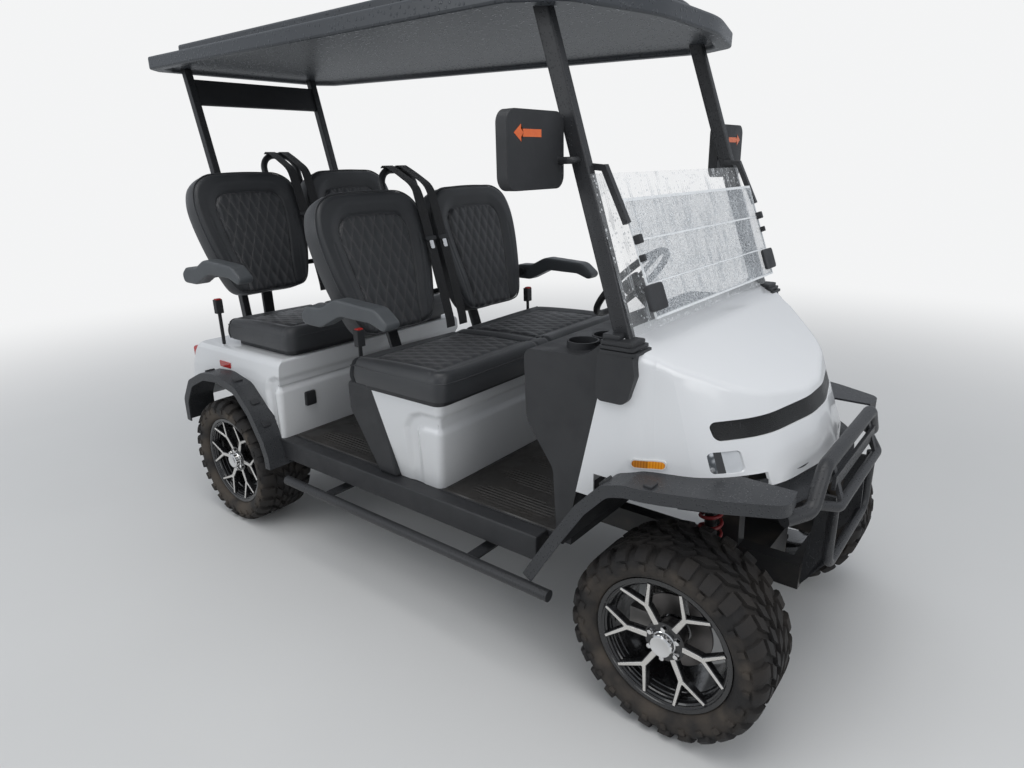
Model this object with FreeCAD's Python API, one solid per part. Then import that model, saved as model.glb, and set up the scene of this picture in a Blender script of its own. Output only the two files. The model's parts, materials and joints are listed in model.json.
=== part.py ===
import FreeCAD, Part
import math
import os
from functools import cache

# A four-seat golf cart, lifted, with forward-facing seats. Millimetres.
# X points forward, Y to the left, Z up. While the cart is made, x = 0 is the rear axle
# and z = 0 the ground. At the end everything moves so that x = 0 is halfway along it.
# Pieces that come in pairs are made for the right-hand side, where y is negative.

# Wheels
WHEELBASE = 2160
FRONT_TRACK = 980
REAR_TRACK = 1040
TYRE_DIAMETER = 584
TYRE_WIDTH = 250
RIM_LIP_DIAMETER = 406
RIM_WIDTH = 205
RIM_BARREL_RADIUS = 184
RIM_WALL = 7
RIM_LIP_THICKNESS = 8
TYRE_SEAT_GAP = 0.3
SEAT_GAP = 0.3
SPOKE_COUNT = 6
SPOKE_FACE = 80
SPOKE_THICKNESS = 22
SPOKE_STEM_WIDTH = 26
SPOKE_ARM_WIDTH = 17
SPOKE_FORK_RADIUS = 104
SPOKE_SPREAD = 46
HUB_RADIUS = 45
HUB_FACE_RADIUS = 62
HUB_CAP_RADIUS = 34
HUB_CAP_HEIGHT = 14
HUB_BACK = -5
DISC_RADIUS = 112
DISC_THICKNESS = 8
DISC_FACE = 14
STUB_RADIUS = 17.5
STUB_CLEARANCE = 0.06
STUB_REACH = 38

# Frame
RAIL_Y = 175
RAIL_WIDTH = 50
RAIL_HEIGHT = 80
RAIL_BOTTOM = 355
RAIL_REAR_X = -400
RAIL_FRONT_X = WHEELBASE + 240
CROSS_TUBE = 40
SUBFRAME_HALF_LENGTH = 100
SUBFRAME_HALF_WIDTH = 170
SUBFRAME_BOTTOM = 215
TOWER_TOP = 680
TOWER_PLATE = 12
TOWER_HALF_LENGTH = 55
TOWER_OUTER_Y = 332

# Floor, sills and steps
FLOOR_THICKNESS = 25
FLOOR_REAR_X = 300
FLOOR_FRONT_X = WHEELBASE - 360
FLOOR_HALF_WIDTH = 500
MAT_THICKNESS = 5
MAT_EDGE_GAP = 4
SILL_WIDTH = 62
SILL_HEIGHT = 88
SILL_REAR_X = 318
SILL_FRONT_X = WHEELBASE - 448
STEP_Y = 640
STEP_Z = 335
STEP_RADIUS = 19
STEP_REAR_X = 470
STEP_FRONT_X = WHEELBASE - 345
STEP_BRACKET_WIDTH = 46
STEP_BRACKET_THICKNESS = 8

# Front suspension and steering
KINGPIN_Y = 410
KNUCKLE_HALF_HEIGHT = 92
KNUCKLE_POST = 36
KINGPIN_RADIUS = 9
KINGPIN_LENGTH = 22
PIN_CLEARANCE = 0.05
ARM_RADIUS = 11
ARM_EYE_RADIUS = 20
ARM_HALF_SPREAD = 85
ARM_SEAT_GAP = 0.3
LOWER_ARM_INNER_Z = 240
UPPER_ARM_INNER_Z = 400
SPRING_Y = 292
SPRING_RADIUS = 38
SPRING_WIRE = 6
SPRING_TURNS = 8
DAMPER_RADIUS = 31
STEER_ARM_LENGTH = 130
RACK_Z = 296
RACK_RADIUS = 10
RACK_HOUSING_RADIUS = 24
RACK_HALF_LENGTH = 165
RACK_CLEARANCE = 0.5
TIE_ROD_END_Y = 362
TIE_ROD_END_RADIUS = 14
TIE_ROD_DROP = 6

# Rear suspension and drive
AXLE_RADIUS = 34
AXLE_FLANGE_RADIUS = 55
DIFFERENTIAL_RADIUS = 95
DIFFERENTIAL_WIDTH = 130
MOTOR_LENGTH = 260
MOTOR_RADIUS = 88
LEAF_HALF_LENGTH = 350
LEAF_RISE = 40
LEAF_THICKNESS = 26
LEAF_WIDTH = 50
BATTERY_SIZE = (185, 760, 290)

# Front cowl
COWL_WALL = 6
COWL_HALF_WIDTH = 548
COWL_BOTTOM = 655
COWL_TOP = 1180
COWL_SEAM_LOW = (WHEELBASE - 312, 655)
COWL_SEAM_HIGH = (WHEELBASE - 202, 1138)
HOOD_LIP = (WHEELBASE + 172, 934)
NOSE_SLANT = 0.36
NOSE_LEVEL = 750
# x and y of the cowl's plan at the nose's level, corner radius, and whether it leans with the nose
COWL_PLAN = ((WHEELBASE - 400, 548, 0, 0), (WHEELBASE - 120, 548, 300, 0),
             (WHEELBASE + 78, 452, 330, 1), (WHEELBASE + 185, 315, 330, 1),
             (WHEELBASE + 236, 70, 400, 1))
HOOD_EDGE_ROUND = 34
COWL_ARCH_INNER_Y = 330
NOSE_BOTTOM = 729
BAND_BOTTOM = 860
BAND_TOP = 911
BAND_TAPER = 6
BAND_RECESS = 2
BAND_DEPTH = 14
BAND_HALF_WIDTH = 440
HEADLAMP_Z = 804
HEADLAMP_HEIGHT = 58
HEADLAMP_Y = 420
HEADLAMP_WIDTH = 72
HEADLAMP_RECESS = 3
HEADLAMP_DEPTH = 34
MARKER_X = WHEELBASE - 92
MARKER_Z = 793
MARKER_LENGTH = 88
MARKER_HEIGHT = 27
MARKER_DEPTH = 5

# Dash
DASH_FACE_X = WHEELBASE - 492
DASH_TOP = 1062
DASH_CREST_X = WHEELBASE - 288
DASH_CREST_Z = 1128
DASH_FRONT_X = WHEELBASE - 210
DASH_LOWER_Z = 830
DASH_HALF_WIDTH = 544
DASH_PANEL_THICKNESS = 42
TOE_THICKNESS = 20
TOE_TOP_X = WHEELBASE - 325
CUP_RADIUS = 41
CUP_WALL = 6
CUP_DEPTH = 78
# x and y of each cup holder's middle
CUPS = ((WHEELBASE - 352, -452), (WHEELBASE - 328, -356))
CUP_RIM_Z = 1086

# Seats, front row
# the front row stands this share of the wheelbase ahead of the rear axle
FRONT_ROW_SHARE = 0.6227
CUSHION_FRONT_X = round(FRONT_ROW_SHARE * WHEELBASE)
CUSHION_DEPTH = 462
CUSHION_HALF_WIDTH = 575
CUSHION_THICKNESS = 112
CUSHION_GAP = 0.3
TRAY_THICKNESS = 22
SEAT_BASE_TOP = 800
SEAT_BASE_FRONT_X = CUSHION_FRONT_X - 40
SEAT_BASE_BOTTOM_FRONT_X = CUSHION_FRONT_X - 103
SEAT_BASE_REAR_X = CUSHION_FRONT_X - 387
SEAT_BASE_BOTTOM_REAR_X = CUSHION_FRONT_X - 314
SEAT_BASE_HALF_WIDTH = 548
SEAT_BASE_FOOT_HALF_WIDTH = 500
SEAT_BASE_WALL = 6
BACK_PANEL_FOOT_X = CUSHION_FRONT_X - 410
BACK_PANEL_HALF_WIDTH = 525
BACK_PANEL_KNEE = (CUSHION_FRONT_X - 555, 690)
BACKREST_FOOT_X = CUSHION_FRONT_X - 477
BACKREST_FOOT_Z = 968
BACKREST_HEIGHT = 545
BACKREST_LEAN = 16
BACKREST_THICKNESS = 105
BACKREST_CENTRE_Y = 290
BACKREST_HALF_WIDTH = 268
BACKREST_FOOT_HALF_WIDTH = 190
HOOP_RADIUS = 15
HOOP_HALF_WIDTH = 92
HOOP_TOP = 655
HOOP_OFFSET = 26
STEM_WIDTH = 50
STEM_THICKNESS = 16
STEM_Y = 250
STEM_FOOT_X = CUSHION_FRONT_X - 545
REAR_STEM_FOOT_X = -136
STEM_GAP = 0.3
PIVOT_UP = 120
PIVOT_BACK = 46
PIVOT_RADIUS = 9
ARMREST_INNER_Y = 582
ARMREST_WIDTH = 66
ARMREST_LENGTH = 400
ARMREST_DEPTH = 58
ARMREST_RISE = 62
BELT_WIDTH = 48
BELT_THICKNESS = 3
BELT_Y = 38
BUCKLE_SIZE = (26, 34, 64)
BUCKLE_Y = 512

# Seats, what differs in the rear row
REAR_BACKREST_BACK = BACKREST_FOOT_X - 16
REAR_BACKREST_UP = 80
REAR_CUSHION_BACK = CUSHION_FRONT_X - 380
REAR_CUSHION_UP = 12
REAR_CUSHION_DEPTH = 490
REAR_CUSHION_HALF_WIDTH = 490

# Rear body
REAR_BODY_FRONT_X = 366
REAR_BODY_FOOT_X = 340
REAR_BODY_TAIL = (-335, 752)
REAR_BODY_BACK_X = -288
REAR_BODY_BACK_FOOT_X = -430
REAR_BODY_BOTTOM = 500
REAR_BODY_HALF_WIDTH = 555
REAR_BODY_TOP_HALF_WIDTH = 545
REAR_BODY_WALL = 6
REAR_ARCH_INNER_Y = 500
TAIL_LAMP_Z = 700
TAIL_LAMP_HEIGHT = 110
TAIL_LAMP_WIDTH = 60
TAIL_LAMP_DEPTH = 14
REFLECTOR_X = -62
REFLECTOR_Z = 732
REFLECTOR_LENGTH = 92
REFLECTOR_HEIGHT = 28

# Fender flares
FLARE_WALL = 7
FLARE_LIP = 36
REAR_FLARE_OUTER_Y = 642
# x and z of the top of each flare, from its front to its rear end or the other way round
FRONT_FLARE_LINE = ((WHEELBASE - 444, 376), (WHEELBASE - 400, 448), (WHEELBASE - 338, 545),
                    (WHEELBASE - 255, 668), (WHEELBASE - 175, 752, 60), (WHEELBASE - 105, 772, 60),
                    (WHEELBASE - 10, 767), (WHEELBASE + 290, 764))
REAR_FLARE_LINE = ((-346, 430), (-338, 540, 60), (-262, 645, 60), (-130, 702, 120), (0, 714, 200),
                   (150, 684, 80),
                   (250, 590, 60), (322, 470, 60), (345, 400), (347, 345))
# x and y of the front flare's outer edge
FRONT_FLARE_PLAN = ((WHEELBASE - 470, 640), (WHEELBASE - 80, 640, 200), (WHEELBASE + 130, 562, 160),
                    (WHEELBASE + 270, 492, 50), (WHEELBASE + 260, 400), (WHEELBASE - 280, 400),
                    (WHEELBASE - 280, 546), (WHEELBASE - 470, 546))

# Brush guard
GUARD_TUBE = 20
GUARD_THIN_TUBE = 14
# x, y and z of the thick tube's bends, from its wing to the middle
GUARD_BENDS = ((WHEELBASE + 240, 425, 688), (WHEELBASE + 286, 345, 692), (WHEELBASE + 286, 262, 788))
GUARD_MID_X = WHEELBASE + 327
GUARD_MID_Z = 668
GUARD_LOW_Z = 470
GUARD_LOW_HALF = 222
GUARD_BEND = 50
GUARD_PLATE = (WHEELBASE + 306, 732, 40)

# Pillars, windshield and mirrors
PILLAR_FOOT = (WHEELBASE - 187, 500, 1116)
PILLAR_TOP = (WHEELBASE - 476, 469, 1970)
PILLAR_WIDTH = 32
PILLAR_DEPTH = 50
PILLAR_SUNK = 70
BOOT_OUTER_Y = 563
BOOT_INNER_Y = 470
BOOT_LENGTH = 108
BOOT_HEIGHT = 158
BOOT_RISE = 12
PANE_THICKNESS = 5
PANE_HALF_WIDTH = 452
PANE_OFFSET = 32
PANE_BOTTOM_Z = 1129
PANE_TOP_Z = 1560
FOLDED_TOP = (WHEELBASE - 237, 1477)
FOLDED_BOTTOM = (WHEELBASE - 125, 1172)
HINGE_WIDTH = 16
MIRROR_HALF_WIDTH = 118
MIRROR_HEIGHT = 188
MIRROR_DEPTH = 34
MIRROR_Y = 622
MIRROR_X = WHEELBASE - 400
MIRROR_Z = 1600
MIRROR_ARM = 9

# Rear struts and roof
STRUT_TOP = (-418, 335, 2035)
STRUT_KNEE = (-285, 335, 1550)
STRUT_FOOT = (-165, 335, 655)
STRUT_SIZE = 34
STRUT_FOOT_HEIGHT = 40
CROSS_PANEL_HEIGHT = 110
CROSS_PANEL_THICKNESS = 16
CROSS_PANEL_TOP = 1975
ROOF_BOTTOM = 1945
ROOF_TILT = 1.6
ROOF_RIM = 52
ROOF_RAISE = 48
ROOF_REAR_X = -490
ROOF_FRONT_X = WHEELBASE - 275
ROOF_CORNER_X = WHEELBASE - 360
ROOF_REAR_HALF = 500
ROOF_FRONT_HALF = 600
ROOF_CORNER = 70
ROOF_INSET = 95
ROOF_RECESS = 16
ROOF_LIP = 45

# Steering wheel, column and pedals
STEERING_Y = 285
STEERING_X = WHEELBASE - 605
STEERING_Z = 1122
STEERING_LEAN = 42
STEERING_RADIUS = 172
STEERING_GRIP = 13
COLUMN_RADIUS = 22
COLUMN_SEAT = 6
SHAFT_RADIUS = 9
PEDALS = (("brake", 250, 90), ("throttle", 130, 60))
PEDAL_HEIGHT = 105
PEDAL_THICKNESS = 12
PEDAL_STAND = 60

FLOOR_TOP = RAIL_BOTTOM + RAIL_HEIGHT + FLOOR_THICKNESS
FLOOR_BOTTOM = RAIL_BOTTOM + RAIL_HEIGHT
WHEEL_RADIUS = TYRE_DIAMETER / 2
CENTRE_X = (GUARD_MID_X + GUARD_THIN_TUBE + ROOF_REAR_X) / 2


def vec(x, y, z):
    return FreeCAD.Vector(x, y, z)


ORIGIN = vec(0, 0, 0)
AXES = {"x": vec(1, 0, 0), "y": vec(0, 1, 0), "z": vec(0, 0, 1)}
# plane name: which axis goes across it
ACROSS = {"xy": "z", "xz": "y", "yz": "x"}


def at(plane, a, b, level):
    """A point from its two coordinates in a plane and its level across it."""
    return {"xy": vec(a, b, level), "xz": vec(a, level, b), "yz": vec(level, a, b)}[plane]


def rounded_edges(points, radii, closed):
    """Straight edges through points, with a tangent arc of the given radius at each corner."""
    count = len(points)
    starts, ends, arcs = list(points), list(points), [None] * count
    for i in range(count):
        if radii[i] <= 0 or (not closed and i in (0, count - 1)):
            continue
        before, corner, after = points[i - 1], points[i], points[(i + 1) % count]
        back, ahead = before - corner, after - corner
        turn = math.pi - back.getAngle(ahead)
        if turn < 0.01:
            continue
        reach = min(radii[i] * math.tan(turn / 2), 0.45 * back.Length, 0.45 * ahead.Length)
        radius = reach / math.tan(turn / 2)
        back.normalize()
        ahead.normalize()
        inward = back + ahead
        inward.normalize()
        middle = corner + inward * (radius / math.cos(turn / 2) - radius)
        ends[i], starts[i] = corner + back * reach, corner + ahead * reach
        arcs[i] = Part.Arc(ends[i], middle, starts[i]).toShape()
    edges = []
    for i in range(count):
        if arcs[i] is not None:
            edges.append(arcs[i])
        if i < count - 1 or closed:
            following = (i + 1) % count
            if starts[i].distanceToPoint(ends[following]) > 1e-6:
                edges.append(Part.LineSegment(starts[i], ends[following]).toShape())
    return edges


def outline(plane, rows, level, radius=0):
    """A closed wire. Rows are (a, b) or (a, b, corner radius)."""
    points = [at(plane, row[0], row[1], level) for row in rows]
    radii = [row[2] if len(row) > 2 else radius for row in rows]
    return Part.Wire(rounded_edges(points, radii, True))


def prism(plane, rows, low, high, radius=0):
    """An outline in a plane, carried straight across it from low to high."""
    face = Part.Face(outline(plane, rows, low, radius))
    return face.extrude(AXES[ACROSS[plane]] * (high - low))


def box(x, y, z):
    """A box from three (low, high) pairs."""
    return Part.makeBox(x[1] - x[0], y[1] - y[0], z[1] - z[0], vec(x[0], y[0], z[0]))


def rod(start, end, radius):
    """A round bar between two points."""
    way = end - start
    return Part.makeCylinder(radius, way.Length, start, way)


def bar(plane, start, end, width, low, high):
    """A flat bar between two points of a plane, carried across it from low to high."""
    run, rise = end[0] - start[0], end[1] - start[1]
    length = math.hypot(run, rise)
    across = (-rise / length * width / 2, run / length * width / 2)
    rows = [(start[0] + across[0], start[1] + across[1]), (end[0] + across[0], end[1] + across[1]),
            (end[0] - across[0], end[1] - across[1]), (start[0] - across[0], start[1] - across[1])]
    return prism(plane, rows, low, high)


def pipe(points, radius, bend):
    """A round bar along straight runs joined by arcs of the bend radius."""
    path = Part.Wire(rounded_edges(points, [bend] * len(points), False))
    section = Part.Wire(Part.makeCircle(radius, points[0], points[1] - points[0]))
    return path.makePipeShell([section], True, False)


def lathe(rows, radius=0):
    """A ring or disc about the Y axis. Rows are (across, radius) or with a corner radius."""
    points = [vec(0, row[0], row[1]) for row in rows]
    radii = [row[2] if len(row) > 2 else radius for row in rows]
    face = Part.Face(Part.Wire(rounded_edges(points, radii, True)))
    return face.revolve(ORIGIN, AXES["y"], 360)


def fuse(shapes):
    """One solid from shapes that meet."""
    first, rest = shapes[0], list(shapes[1:])
    return first.fuse(rest).removeSplitter() if rest else first


def left_of(shape):
    """The left-hand copy of a right-hand piece."""
    return shape.mirror(ORIGIN, AXES["y"])


def both(shape):
    """A right-hand piece and its left-hand copy."""
    return Part.makeCompound([shape, left_of(shape)])


def moved(shape, x, y, z):
    copy = shape.copy()
    copy.translate(vec(x, y, z))
    return copy


def largest(shape):
    """The largest solid of a shape that a cut has left in several."""
    return max(shape.Solids, key=lambda solid: solid.Volume)


def mirrored_rows(rows):
    """A half outline (a, b, ...) completed by its reflection in a = 0."""
    return list(rows) + [(-row[0],) + tuple(row[1:]) for row in reversed(rows)]


# Tyre: one closed ring, street side towards negative y, out to the tips of its lugs
def tyre():
    half = TYRE_WIDTH / 2
    bead = RIM_WIDTH / 2 - RIM_LIP_THICKNESS - TYRE_SEAT_GAP
    lip = RIM_LIP_DIAMETER / 2 + TYRE_SEAT_GAP
    # across, radius, corner radius
    rows = [(bead, RIM_BARREL_RADIUS + TYRE_SEAT_GAP), (bead, lip + 2, 0), (half - 14, lip + 4, 10),
            (half, lip + 30, 30), (half - 6, WHEEL_RADIUS - 16, 14), (half - 28, WHEEL_RADIUS, 12)]
    return lathe(mirrored_rows(rows))


# Rim with its barrel, Y-shaped spokes, hub, centre cap and the brake disc behind it
def rim():
    half = RIM_WIDTH / 2
    inner = RIM_BARREL_RADIUS - RIM_WALL
    lip = RIM_LIP_DIAMETER / 2
    barrel = lathe(mirrored_rows([(half, inner), (half, lip), (half - RIM_LIP_THICKNESS, lip),
                                  (half - RIM_LIP_THICKNESS, RIM_BARREL_RADIUS)]))
    low, high = -SPOKE_FACE, -SPOKE_FACE + SPOKE_THICKNESS
    spokes = []
    reach = inner + RIM_WALL / 2
    rim_z = math.sqrt(reach ** 2 - SPOKE_SPREAD ** 2)
    for number in range(SPOKE_COUNT):
        stem = bar("xz", (0, 0), (0, SPOKE_FORK_RADIUS), SPOKE_STEM_WIDTH, low, high)
        arms = [bar("xz", (0, SPOKE_FORK_RADIUS - SPOKE_ARM_WIDTH / 2), (side * SPOKE_SPREAD, rim_z),
                    SPOKE_ARM_WIDTH, low, high) for side in (-1, 1)]
        for piece in [stem] + arms:
            piece.rotate(ORIGIN, AXES["y"], number * 360 / SPOKE_COUNT)
            spokes.append(piece)
    hub = Part.makeCylinder(HUB_RADIUS, SPOKE_FACE - HUB_BACK, vec(0, -SPOKE_FACE, 0), AXES["y"])
    face = Part.makeCylinder(HUB_FACE_RADIUS, SPOKE_THICKNESS, vec(0, low, 0), AXES["y"])
    cap = Part.makeCylinder(HUB_CAP_RADIUS, HUB_CAP_HEIGHT, vec(0, low - HUB_CAP_HEIGHT, 0), AXES["y"])
    disc = Part.makeCylinder(DISC_RADIUS, DISC_THICKNESS, vec(0, -DISC_FACE, 0), AXES["y"])
    whole = fuse([barrel, hub, face, cap, disc] + spokes)
    bore = Part.makeCylinder(STUB_RADIUS + STUB_CLEARANCE, STUB_REACH + HUB_BACK + 12,
                             vec(0, -STUB_REACH - 2, 0), AXES["y"])
    return whole.cut(bore)


# Where each wheel stands: name, axle x, half track
WHEELS = (("front", WHEELBASE, FRONT_TRACK / 2), ("rear", 0, REAR_TRACK / 2))


def wheel_parts():
    """Tyres and rims at their four places."""
    made = {}
    for kind, shape in (("tyre", tyre()), ("rim", rim())):
        for end, x, half_track in WHEELS:
            right = moved(shape, x, -half_track, WHEEL_RADIUS)
            made[f"{kind}_{end}_right"] = right
            made[f"{kind}_{end}_left"] = left_of(right)
    return made


# Knuckle: an upright on the kingpin, the stub axle, the brake caliper and the steering arm
def knuckle():
    x, y, z = WHEELBASE, -KINGPIN_Y, WHEEL_RADIUS
    wheel_y = -FRONT_TRACK / 2
    half = KNUCKLE_POST / 2
    post = box((x - half, x + half), (y - half, y + half), (z - KNUCKLE_HALF_HEIGHT, z + KNUCKLE_HALF_HEIGHT))
    pins = [Part.makeCylinder(KINGPIN_RADIUS, KINGPIN_LENGTH, vec(x, y, z + side * KNUCKLE_HALF_HEIGHT),
                              AXES["z"] * side) for side in (-1, 1)]
    boss = rod(vec(x, y, z), vec(x, wheel_y + 18, z), STUB_RADIUS * 1.7)
    stub = rod(vec(x, y, z), vec(x, wheel_y - STUB_REACH, z), STUB_RADIUS)
    disc_low, disc_high = wheel_y - DISC_FACE, wheel_y - DISC_FACE + DISC_THICKNESS
    gap = 4
    grip = box((x - DISC_RADIUS - 20, x - DISC_RADIUS + 48), (disc_low - 24, disc_high + 30),
               (z - 38, z + 38))
    slot = Part.makeCylinder(DISC_RADIUS + 5, DISC_THICKNESS + 2 * gap, vec(x, disc_low - gap, z), AXES["y"])
    caliper = grip.cut(slot)
    bracket = box((x - DISC_RADIUS + 20, x), (disc_high + 14, disc_high + 30), (z - 22, z + 22))
    arm_top = RACK_Z + RACK_RADIUS + TIE_ROD_DROP + 16
    arm = bar("xy", (x, y), (x - STEER_ARM_LENGTH, -TIE_ROD_END_Y), 26, arm_top - 16, arm_top)
    eye = Part.makeCylinder(TIE_ROD_END_RADIUS + 3, 16, vec(x - STEER_ARM_LENGTH, -TIE_ROD_END_Y,
                                                            arm_top - 16))
    return fuse([post, boss, stub, caliper, bracket, arm, eye] + pins)


def arm_legs(inner_y, inner_z, outer_z):
    """Two legs from the frame to the eye on the kingpin, and the eye's bore."""
    eye_low = outer_z - KINGPIN_LENGTH / 2 + 1
    eye_point = vec(WHEELBASE, -KINGPIN_Y, outer_z)
    eye = Part.makeCylinder(ARM_EYE_RADIUS, KINGPIN_LENGTH - 2, vec(WHEELBASE, -KINGPIN_Y, eye_low))
    legs = [rod(vec(WHEELBASE + side * ARM_HALF_SPREAD, -inner_y, inner_z), eye_point, ARM_RADIUS)
            for side in (-1, 1)]
    bore = Part.makeCylinder(KINGPIN_RADIUS + PIN_CLEARANCE, 4 * KINGPIN_LENGTH,
                             vec(WHEELBASE, -KINGPIN_Y, outer_z - 2 * KINGPIN_LENGTH))
    trim = box((WHEELBASE - 2 * ARM_HALF_SPREAD, WHEELBASE + 2 * ARM_HALF_SPREAD),
               (-inner_y, 0), (outer_z - 200, outer_z + 200))
    clear = KNUCKLE_POST
    post_room = box((WHEELBASE - clear, WHEELBASE + clear), (-KINGPIN_Y - clear, -KINGPIN_Y + clear),
                    (WHEEL_RADIUS - KNUCKLE_HALF_HEIGHT - ARM_SEAT_GAP,
                     WHEEL_RADIUS + KNUCKLE_HALF_HEIGHT + ARM_SEAT_GAP))
    return fuse([eye] + legs).cut(bore).cut(trim).cut(post_room)


def front_arms():
    """Lower and upper arms of the front suspension."""
    below = WHEEL_RADIUS - KNUCKLE_HALF_HEIGHT - KINGPIN_LENGTH / 2
    above = WHEEL_RADIUS + KNUCKLE_HALF_HEIGHT + KINGPIN_LENGTH / 2
    lower = arm_legs(SUBFRAME_HALF_WIDTH + ARM_SEAT_GAP, LOWER_ARM_INNER_Z, below)
    upper = arm_legs(RAIL_Y + RAIL_WIDTH / 2 + ARM_SEAT_GAP, UPPER_ARM_INNER_Z, above)
    pad_low = LOWER_ARM_INNER_Z - ARM_RADIUS - 10
    pad = box((WHEELBASE - 68, WHEELBASE + 68), (-SPRING_Y - 24, -SPRING_Y + 24), (pad_low, pad_low + 14))
    lower = fuse([lower, pad])
    return Part.makeCompound([lower, left_of(lower), upper, left_of(upper)])


def front_springs():
    """Coil springs over dampers, between the lower arms and the towers."""
    low = LOWER_ARM_INNER_Z - ARM_RADIUS - 10 + 14 + ARM_SEAT_GAP
    high = TOWER_TOP - TOWER_PLATE - ARM_SEAT_GAP
    damper = Part.makeCylinder(DAMPER_RADIUS, high - low, vec(WHEELBASE, -SPRING_Y, low))
    coils = []
    first, last = low + 90, high - 20
    for number in range(SPRING_TURNS):
        level = first + (last - first) * number / (SPRING_TURNS - 1)
        coils.append(Part.makeTorus(SPRING_RADIUS - SPRING_WIRE, SPRING_WIRE,
                                    vec(WHEELBASE, -SPRING_Y, level)))
    return both(fuse([damper] + coils))


def rack_x():
    return WHEELBASE - STEER_ARM_LENGTH


def steering_rack():
    """Rack housing on brackets behind the subframe, with the bar's bore through it."""
    x, z = rack_x(), RACK_Z
    housing = rod(vec(x, -RACK_HALF_LENGTH, z), vec(x, RACK_HALF_LENGTH, z), RACK_HOUSING_RADIUS)
    face = WHEELBASE - SUBFRAME_HALF_LENGTH
    brackets = [box((x, face), (y - 15, y + 15), (z - RACK_HOUSING_RADIUS * 0.8,
                                                  z + RACK_HOUSING_RADIUS * 0.8))
                for y in (-RACK_HALF_LENGTH + 40, RACK_HALF_LENGTH - 40)]
    bore = rod(vec(x, -RACK_HALF_LENGTH - 5, z), vec(x, RACK_HALF_LENGTH + 5, z),
               RACK_RADIUS + RACK_CLEARANCE)
    return fuse([housing] + brackets).cut(bore)


def tie_rods():
    """The sliding rack bar with a tie rod and its end on each side, as one piece."""
    x, z = rack_x(), RACK_Z
    long_bar = rod(vec(x, -TIE_ROD_END_Y, z), vec(x, TIE_ROD_END_Y, z), RACK_RADIUS)
    ends = [Part.makeCylinder(TIE_ROD_END_RADIUS, 2 * RACK_RADIUS,
                              vec(x, side * TIE_ROD_END_Y, z - RACK_RADIUS))
            for side in (-1, 1)]
    return fuse([long_bar] + ends)


# Rear axle tube with differential housing and a stub for each wheel
def rear_axle():
    z = WHEEL_RADIUS
    flange_y = REAR_TRACK / 2 - 30
    tube = rod(vec(0, -flange_y, z), vec(0, flange_y, z), AXLE_RADIUS)
    flanges = [Part.makeCylinder(AXLE_FLANGE_RADIUS, 12, vec(0, side * flange_y - 6, z), AXES["y"])
               for side in (-1, 1)]
    stubs = rod(vec(0, -REAR_TRACK / 2 - STUB_REACH, z), vec(0, REAR_TRACK / 2 + STUB_REACH, z), STUB_RADIUS)
    differential = Part.makeCylinder(DIFFERENTIAL_RADIUS, DIFFERENTIAL_WIDTH,
                                     vec(0, -DIFFERENTIAL_WIDTH / 2, z), AXES["y"])
    return fuse([tube, differential, stubs] + flanges)


def drive_motor():
    """Drive motor, a plain block of its real size, bolted to the differential's side."""
    start = DIFFERENTIAL_WIDTH / 2
    length = RAIL_Y - RAIL_WIDTH / 2 - start - 8
    outer = Part.makeCylinder(MOTOR_RADIUS, MOTOR_LENGTH, vec(-AXLE_RADIUS, 0, WHEEL_RADIUS), AXES["x"] * -1)
    room = Part.makeCylinder(DIFFERENTIAL_RADIUS, 2 * RAIL_Y, vec(0, -RAIL_Y, WHEEL_RADIUS), AXES["y"])
    return outer.cut(room) if length > 0 else outer


def leaf_springs():
    """A leaf pack over the axle on each side, its eyes on the rail's outer face."""
    inner = RAIL_Y + RAIL_WIDTH / 2
    low = WHEEL_RADIUS + AXLE_RADIUS
    high = low + LEAF_THICKNESS
    ends = LEAF_HALF_LENGTH
    rows = [(-ends, low + LEAF_RISE), (-ends / 2, low + LEAF_RISE / 4, 200), (0, low, 400),
            (ends / 2, low + LEAF_RISE / 4, 200), (ends, low + LEAF_RISE),
            (ends, high + LEAF_RISE - 10), (ends / 2, high + LEAF_RISE / 4, 200), (0, high, 400),
            (-ends / 2, high + LEAF_RISE / 4, 200), (-ends, high + LEAF_RISE - 10)]
    pack = prism("xz", rows, -inner - LEAF_WIDTH, -inner)
    return both(pack)


# Chassis: two straight rails
def chassis_rails():
    low = RAIL_Y - RAIL_WIDTH / 2
    rail = box((RAIL_REAR_X, RAIL_FRONT_X), (-low - RAIL_WIDTH, -low), (RAIL_BOTTOM, FLOOR_BOTTOM))
    return both(rail)


HITCH_SPACING_Y = 120
HITCH_SPACING_Z = 40
HITCH_HOLE_RADIUS = 5.5


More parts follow.
